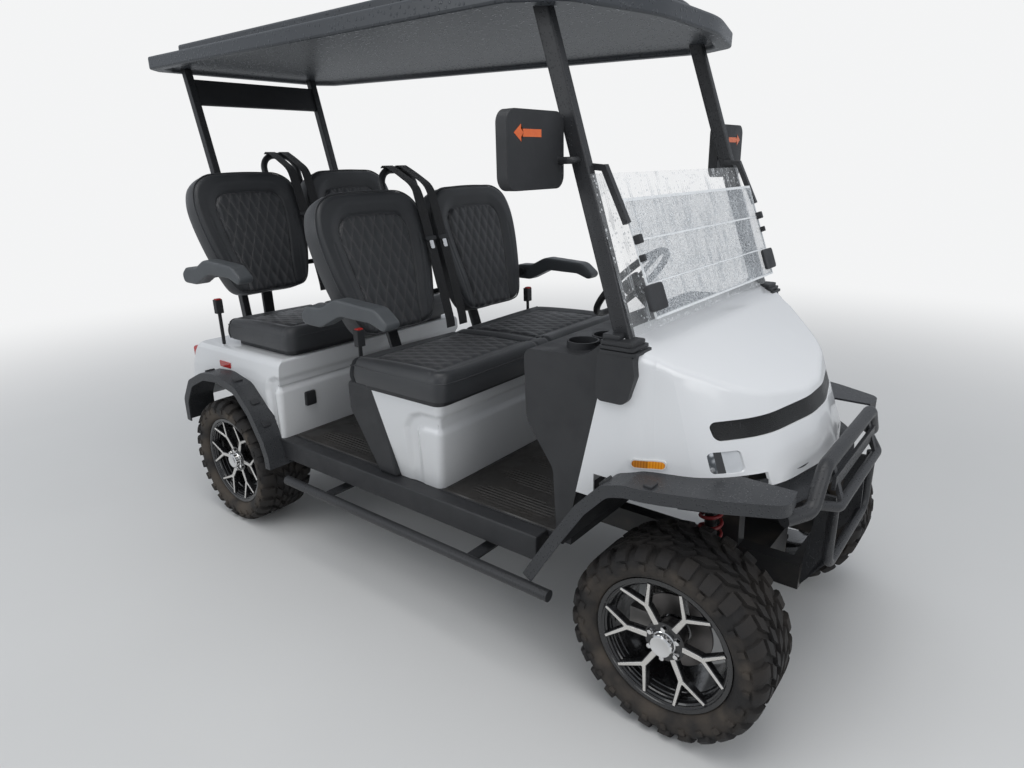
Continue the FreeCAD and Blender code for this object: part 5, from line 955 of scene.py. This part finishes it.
flat_profile = [(across * BELT_HALF, out * BELT_THICK / 2)
                for across, out in ((-1, -1), (1, -1), (1, 1), (-1, 1))]
straps, bars, plates, buttons = [], [], [], []
for row, foot_x, foot_z in SEAT_ROWS:
    hoop_x, hoop_z = on_back(HOOP_TOP, HOOP_BACK, foot_x, foot_z)
    line = [(hoop_x + back, hoop_z + up) for back, up in BELT_GUIDE]
    line += [on_back(up_along, out, foot_x, foot_z) for up_along, out in BELT_DOWN]
    bar_x, bar_z = on_back(0.33, 0.016, foot_x, foot_z)
    plate_x, plate_z = on_back(0.305, 0.017, foot_x, foot_z)
    for y in (-BELT_Y, BELT_Y):
        straps.append(swept(resampled([(x, y, z) for x, z in line], 60), flat_profile))
        bars.append(block((bar_x, y, bar_z), (0.030, 0.009, 0.006)))
        plates.append(block((plate_x, y, plate_z), (0.0105, 0.018, 0.0018)))
for row, front_x, underside, depth, half in BENCHES:
    for y in (-BUCKLE_Y, BUCKLE_Y):
        place = (front_x - depth + REAR_AXLE_X - BUCKLE_BACK, y, underside + BUCKLE_RISE)
        buttons.append(block(place, (0.0135, 0.0105, 0.0050), (1, 0, 0), (0, 0, 1)))
add_rings("belt_straps", straps, web_finish, ("seat_belts",), 40)
add_rings("belt_tongue_bars", bars, trim_finish)
add_rings("belt_tongues", plates, plated)
dressed("belt_buckles", trim_finish, 0.004, 40, 3)
add_rings("buckle_buttons", buttons, button_finish)

# Windshield: two sheets of clear acrylic. The lower one stands on the pillars, the upper one is
# folded down in front of it, and both are streaked and beaded with rain.
# pale lines across the upper sheet: height, half thickness
PALE_LINES = ((1.476, 0.005), (1.372, 0.0018), (1.262, 0.0012), (1.175, 0.003))
PANE_EDGE_IN, PANE_EDGE_OUT = 0.4475, 0.4525
pane_finish = Finish("clear_acrylic", (0.86, 0.89, 0.90), 0.08, IOR=1.49)
pane_place = pane_finish.where()
streak_noise = pane_finish.noise(1.0, 5.0, pane_finish.stretched(pane_place, (9.0, 70.0, 9.0)))
streaks = pane_finish.ramp(streak_noise, 0.50, 0.72)
sprinkle = pane_finish.droplets(150.0, 0.75)
band_noise = pane_finish.noise(1.0, 3.0, pane_finish.stretched(pane_place, (1.0, 1.0, 26.0)))
bands = pane_finish.ramp(band_noise, 0.5, 0.8)
pane_across, pane_height = abs(pane_finish.along(1)), pane_finish.along(2)
# a painted highlight: a bright stripe along each side edge of the sheet, to which the pale lines across it are
# added
painted_edge_highlight_and_pale_lines = pane_finish.ramp(pane_across, PANE_EDGE_IN, PANE_EDGE_IN + 0.001) * (pane_across < PANE_EDGE_OUT)
for line_height, line_half in PALE_LINES:
    painted_edge_highlight_and_pale_lines = painted_edge_highlight_and_pale_lines + pane_finish.ramp(abs(pane_height - line_height), line_half * 1.5, line_half)
speckle = pane_finish.ramp(pane_finish.noise(240.0, 2.0), 0.45, 0.60)
wetness = streaks * 0.35 + sprinkle * 0.25 + speckle * 0.35 + bands * 0.15 + painted_edge_highlight_and_pale_lines
pane_finish.set("Alpha", pane_finish.ramp(wetness, 0.0, 1.0, 0.26, 0.96))
film = pane_finish.mix(speckle, (0.34, 0.37, 0.40), (0.90, 0.93, 0.95))
highlight_and_pale_lines = pane_finish.maths("MINIMUM", painted_edge_highlight_and_pale_lines, 1.0)
pane_finish.set("Base Color", pane_finish.mix(highlight_and_pale_lines, film, (0.93, 0.95, 0.96)))
pane_finish.set("Roughness", pane_finish.ramp(streaks, 0.0, 1.0, 0.08, 0.30))
pane_finish.bump(sprinkle + streaks * 0.4, 0.0012, 0.9)
coat("windshield_upper", pane_finish)
clear_finish = Finish("clean_acrylic", (0.90, 0.92, 0.93), 0.05, IOR=1.49)
clear_noise = clear_finish.noise(1.0, 5.0, clear_finish.stretched(clear_finish.where(), (9.0, 60.0, 7.0)))
clear_wet = clear_finish.ramp(clear_noise, 0.52, 0.75) + clear_finish.droplets(90.0, 0.25)
clear_finish.set("Alpha", clear_finish.ramp(clear_wet, 0.0, 1.0, 0.10, 0.75))
coat("windshield_lower", clear_finish)
# the folded sheet's latch plates, hinge arms and knobs: across, up from its foot, half sizes
PANE_FOOT = np.array([1.0340, 0.0, 1.1720])
PANE_UP, PANE_OUT = np.array([-0.345, 0.0, 0.939]), np.array([0.939, 0.0, 0.345])
PANE_PARTS = ((-0.433, 0.058, 0.048, 0.036, 0.005), (-0.446, 0.215, 0.010, 0.012, 0.010),
              (-0.448, 0.165, 0.006, 0.009, 0.008))
pane_blocks = []
for across, up_sheet, half_wide, half_tall, half_deep in PANE_PARTS:
    for hand in (1, -1):
        centre = PANE_FOOT + PANE_UP * up_sheet + PANE_OUT * (half_deep * 0.6) + np.array([0, across * hand, 0])
        pane_blocks.append(block(centre, (half_wide, half_tall, half_deep), PANE_UP, PANE_OUT))
add_rings("windshield_fittings", pane_blocks, trim_finish)

# Mirrors: black moulded housings on arms from the pillars. Each one's back carries an amber
# arrow, a thin moulding that points outwards.
ARROW_Y, ARROW_Z, ARROW_THICK, ARROW_PROUD = 0.655, 1.640, 0.003, 0.0006
# across outwards from the mirror's middle, up: the arrow's outline
ARROW = ((0.058, 0.0), (0.030, 0.020), (0.030, 0.009), (-0.052, 0.009), (-0.052, -0.009), (0.030, -0.009),
         (0.030, -0.020))
dressed("mirrors", trim_finish, 0.006, 40, 3)
arrow_finish = Finish("amber_arrow", (0.80, 0.14, 0.02), 0.3, Coat_Weight=0.4,
                      tones=(60.0, 2.0, (0.74, 0.11, 0.015), (0.88, 0.18, 0.03)))
mirror_corners = read_out(nodes_made["mirrors"].data.vertices, "co")
housing = np.abs(mirror_corners[:, 1]) > 0.6
mirror_back = mirror_corners[housing][:, 0].max() + ARROW_PROUD
arrows = []
for hand in (-1, 1):
    flat = np.array([(0.0, hand * across, up) for across, up in ARROW])
    inner = np.zeros((1, len(ARROW), 3)) + [[0.0, hand * 0.02, 0.0]]
    rings = [inner, flat[None], flat[None] - [ARROW_THICK, 0, 0], inner - [ARROW_THICK, 0, 0]]
    arrows.append(np.concatenate(rings) + np.array([mirror_back, hand * ARROW_Y, ARROW_Z]))
add_rings("mirror_arrows", arrows, arrow_finish, (), 30)

# Boot collars: three ribs of black plastic round the foot of each pillar, with a wedge behind
# that covers the corner between the dash and the hood.
low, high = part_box("pillar_boots")
rib_top, rib_x, rib_y = high.z - BOOT_RIBS_TALL, low.x + (high.x - low.x) * 0.5, high.y - 0.0465
# half across, half along, height above the boot, half height: three ribs, each shorter
BOOT_RIBS = ((0.0485, 0.056, 0.0045, 0.0050), (0.0455, 0.052, 0.0160, 0.0050), (0.0420, 0.047, 0.0275, 0.0050),
             (0.0390, 0.043, 0.0160, 0.0180))
WEDGE_PLACE, WEDGE_HALF = (0.946, 0.519, 1.129), (0.026, 0.026, 0.010)
ribs_round = []
for hand in (-1, 1):
    for wide, long, up, tall in BOOT_RIBS:
        rib_place = (rib_x - 0.35 * (up - 0.016), hand * rib_y, rib_top + up)
        ribs_round.append(block(rib_place, (wide, long, tall), (1, 0, 0), (0, 0, 1), 0.08))
    wedge = (WEDGE_PLACE[0], hand * WEDGE_PLACE[1], WEDGE_PLACE[2])
    ribs_round.append(block(wedge, WEDGE_HALF, (1, 0, 0), (0, 0, 1), 0.10))
add_rings("boot_ribs", ribs_round, trim_finish)

# Grille band and lamps: a black mesh let into the nose, clear headlamps beside it, amber markers
# on the sides, and red lamps and reflectors behind.
mesh_finish = Finish("black_grille_mesh", (0.006, 0.006, 0.007), 0.30)
holes = mesh_finish.cells(210.0, feature="DISTANCE_TO_EDGE")
# the cell middles are painted darker than the strands: painted shade of the space behind the mesh's holes
mesh_finish.set("Base Color", mesh_finish.mix(mesh_finish.ramp(holes, 0.05, 0.14), (0.014, 0.015, 0.017),
                                              (0.002, 0.002, 0.002)))
mesh_finish.bump(mesh_finish.ramp(holes, 0.16, 0.04), 0.003, 1.0)
dressed("grille_band", mesh_finish, 0.002, 35)
lamp_finish = Finish("headlamp_lens", (0.62, 0.64, 0.66), 0.06, Coat_Weight=1.0)
lamp_across = abs(lamp_finish.along(1))
# the lamp from its inner end: a clear cover over white, then from these distances from the cart's middle a dark
# post and the bright bowl, whose colour is mottled with painted glints
POST_FROM, BOWL_FROM = 0.424, 0.440
lamp_post = lamp_finish.ramp(lamp_across, POST_FROM - 0.0005, POST_FROM + 0.0005)
lamp_bowl = lamp_finish.ramp(lamp_across, BOWL_FROM - 0.0005, BOWL_FROM + 0.0005)
# painted glints: bright spots on the dark bowl that stand in for reflections
bowl_painted_glints = lamp_finish.ramp(lamp_finish.cells(46.0), 0.15, 0.5)
lamp_clear = lamp_finish.mix(lamp_finish.noise(30.0, 3.0), (0.56, 0.58, 0.60), (0.70, 0.72, 0.74))
bowl_with_painted_glints = lamp_finish.mix(bowl_painted_glints, (0.88, 0.89, 0.90), (0.10, 0.11, 0.12))
lamp_inner = lamp_finish.mix(lamp_post, lamp_clear, (0.020, 0.021, 0.023))
lamp_finish.set("Base Color", lamp_finish.mix(lamp_bowl, lamp_inner, bowl_with_painted_glints))
lamp_finish.set("Metallic", lamp_bowl * 0.85)
dressed("headlamps", lamp_finish, 0.003, 35)
amber_finish = Finish("amber_lens", (0.80, 0.26, 0.01), 0.15, Coat_Weight=0.8, Specular_IOR_Level=0.6)
ribs = amber_finish.ramp(amber_finish.sines(amber_finish.along(0), 900.0), -1.0, 1.0)
low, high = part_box("side_markers")
marker_x, marker_z, marker_round = (low.x + high.x) / 2, (low.z + high.z) / 2, (high.z - low.z) / 2
# the lens is painted lit in its front half and painted in shade in its back half, and a pale bezel runs round
# it
beside = abs(amber_finish.along(0) - marker_x) - ((high.x - low.x) / 2 - marker_round)
beside = amber_finish.maths("MAXIMUM", beside, 0.0)
marker_far = (beside ** 2.0 + abs(amber_finish.along(2) - marker_z) ** 2.0) ** 0.5
bezel = amber_finish.ramp(marker_far, marker_round - 0.0036, marker_round - 0.0028)
# painted light: a lit copy and a shaded copy of the ribbed amber
amber_painted_lit = amber_finish.mix(ribs, (0.78, 0.24, 0.006), (0.95, 0.38, 0.02))
amber_painted_shade = amber_finish.mix(ribs, (0.42, 0.14, 0.010), (0.60, 0.22, 0.02))
painted_lit_front_half = amber_finish.ramp(amber_finish.along(0), marker_x - 0.002, marker_x + 0.002)
amber_glass = amber_finish.mix(painted_lit_front_half, amber_painted_shade, amber_painted_lit)
amber_finish.set("Base Color", amber_finish.mix(bezel, amber_glass, (0.70, 0.70, 0.68)))
dressed("side_markers", amber_finish, 0.0015, 35)
red_finish = Finish("red_lens", (0.45, 0.01, 0.01), 0.15, Coat_Weight=0.8)
bars_red = red_finish.ramp(red_finish.sines(red_finish.along(2), 700.0), -1.0, 1.0)
red_finish.set("Base Color", red_finish.mix(bars_red, (0.34, 0.005, 0.005), (0.60, 0.02, 0.015)))
for node in ("tail_lamps", "side_reflectors"):
    dressed(node, red_finish, 0.002, 35)

# Small black mouldings: a socket cover on the front of the rear body, and clips along the arches,
# each put where a ray towards the axle first meets the flare.
SOCKET_Y, SOCKET_Z, SOCKET_SUNK, SOCKET_HALF = -0.408, 0.612, 0.010, (0.026, 0.032, 0.010)
# the clips' angles forward from straight above each axle
CLIP_ANGLES = {"front": (-22, -6, 10), "rear": (-38, -18, 14, 34, 50)}
CLIP_Y, CLIP_REACH, CLIP_HALF = 0.595, 0.7, (0.019, 0.013, 0.0075)
socket_place = (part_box("rear_body")[1].x - SOCKET_SUNK, SOCKET_Y, SOCKET_Z)
socket = block(socket_place, SOCKET_HALF, (0, 0, 1), (1, 0, 0), 0.10)
add_rings("socket_cover", socket, trim_finish)
flare_mesh = nodes_made["fender_flares"].data
flare_tree = BVHTree.FromPolygons([vert.co for vert in flare_mesh.vertices],
                                  [tuple(face.vertices) for face in flare_mesh.polygons])
clips = []
for corner, place in WHEEL_PLACES.items():
    hand = -1 if corner.endswith("right") else 1
    for angle in CLIP_ANGLES[corner.split("_")[0]]:
        towards = np.array([-math.sin(math.radians(angle)), 0.0, -math.cos(math.radians(angle))])
        start = np.array([place[0], hand * CLIP_Y, place[2]]) - towards * CLIP_REACH
        struck, facing = flare_tree.ray_cast(Vector(start.tolist()), Vector(towards.tolist()))[:2]
        if struck is not None:
            out = np.array(facing) / np.linalg.norm(facing)
            along_arch = np.cross((0.0, 1.0, 0.0), out)
            along_arch /= np.linalg.norm(along_arch)
            clips.append(block(np.array(struck), CLIP_HALF, along_arch, out, 0.10))
add_rings("flare_clips", clips, trim_finish)

# Nose apron: a sheet of black textured plastic that closes the nose below and runs on to the
# brush guard as a step.
NOSE_LINE = ((-0.020, 0.470), (0.078, 0.430), (0.140, 0.368), (0.185, 0.303), (0.222, 0.180), (0.232, 0.060))
nose_half = [(FRONT_AXLE_X + ahead_by - 0.006, across) for ahead_by, across in NOSE_LINE]
nose_run = resampled([(x, -y) for x, y in nose_half] + [(x, y) for x, y in reversed(nose_half)], 90)
# out from the nose's line, height: down the back of the nose, out over the step and back below
APRON = ((0.0, 0.745), (0.002, 0.722), (0.006, 0.700), (0.018, 0.690), (0.048, 0.686), (0.052, 0.682),
         (0.048, 0.679), (0.012, 0.682), (-0.002, 0.690), (-0.006, 0.722), (-0.006, 0.745))
nose_ahead = np.gradient(nose_run, axis=0)
nose_out = np.stack([nose_ahead[:, 1], -nose_ahead[:, 0]], 1) / np.linalg.norm(nose_ahead, axis=1)[:, None]
apron = np.stack([np.column_stack([nose_run + nose_out * reach, np.full(len(nose_run), height)])
                  for reach, height in APRON], 1)
add_rings("nose_apron", shut(apron), wet_finish, (), 40)

# Steering wheel: a steel ring in moulded grip with three spokes, on its column below.
grip_finish = Finish("moulded_grip", (0.018, 0.018, 0.019), 0.5, wear=(30.0, 4.0, 0.3, 0.7, 0.38, 0.60))
grip_finish.bump(grip_finish.cells(600.0), 0.0006, 0.5)
dressed("steering_wheel", grip_finish, 0.0, 50)
dressed("steering_column", frame_finish, 0.0, 40)

# Floor mats: black ribbed rubber, laid loose in each footwell.
mat_finish = Finish("ribbed_rubber", (0.018, 0.018, 0.018), 0.55,
                    tones=(6.0, 6.0, (0.014, 0.014, 0.014), (0.050, 0.045, 0.040)),
                    wear=(8.0, 5.0, 0.35, 0.65, 0.30, 0.70))
# each footwell from the rear axle: rear end, front end
WELLS = ((0.344, 0.931), (1.246, 1.776))
PANEL_PITCH, RIB_PITCH, RIB_TALL, RIM_TALL, MAT_THICK = 0.165, 0.0165, 0.0020, 0.0015, 0.0028
# each ribbed panel is an oval: half its width, half its length as a share of the mat's
OVAL_WIDE, OVAL_LONG, RIM_WIDE = 0.062, 0.36, 0.022
low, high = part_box("floor_mats")
mats = []
for rear_end, front_end in WELLS:
    rear_x, front_x = rear_end + REAR_AXLE_X, front_end + REAR_AXLE_X
    x = np.linspace(rear_x, front_x, 60)[:, None] + np.zeros((1, 420))
    y = np.linspace(low.y, high.y, 420)[None, :] + np.zeros((60, 1))
    edge_gap = np.minimum(np.minimum(x - rear_x, front_x - x), np.minimum(y - low.y, high.y - y))
    across = np.abs(((y - low.y) / PANEL_PITCH) % 1 - 0.5) * PANEL_PITCH
    oval = ((x - (rear_x + front_x) / 2) / ((front_x - rear_x) * OVAL_LONG)) ** 2 + (across / OVAL_WIDE) ** 2
    ribs_high = RIB_TALL * step_up(np.cos(y * 2 * math.pi / RIB_PITCH), -0.1, 0.4) * step_up(-oval, -1.0, -0.85)
    rim_high = RIM_TALL * step_up(RIM_WIDE - edge_gap, 0, 0.003)
    z = low.z + MAT_THICK + ribs_high + rim_high
    z[0], z[-1], z[:, 0], z[:, -1] = low.z, low.z, low.z, low.z
    mats.append(np.stack([x, y, z], -1))
add_rings("ribbed_mats", mats, mat_finish, ("floor_mats",), 40, outward=False, ring=False)
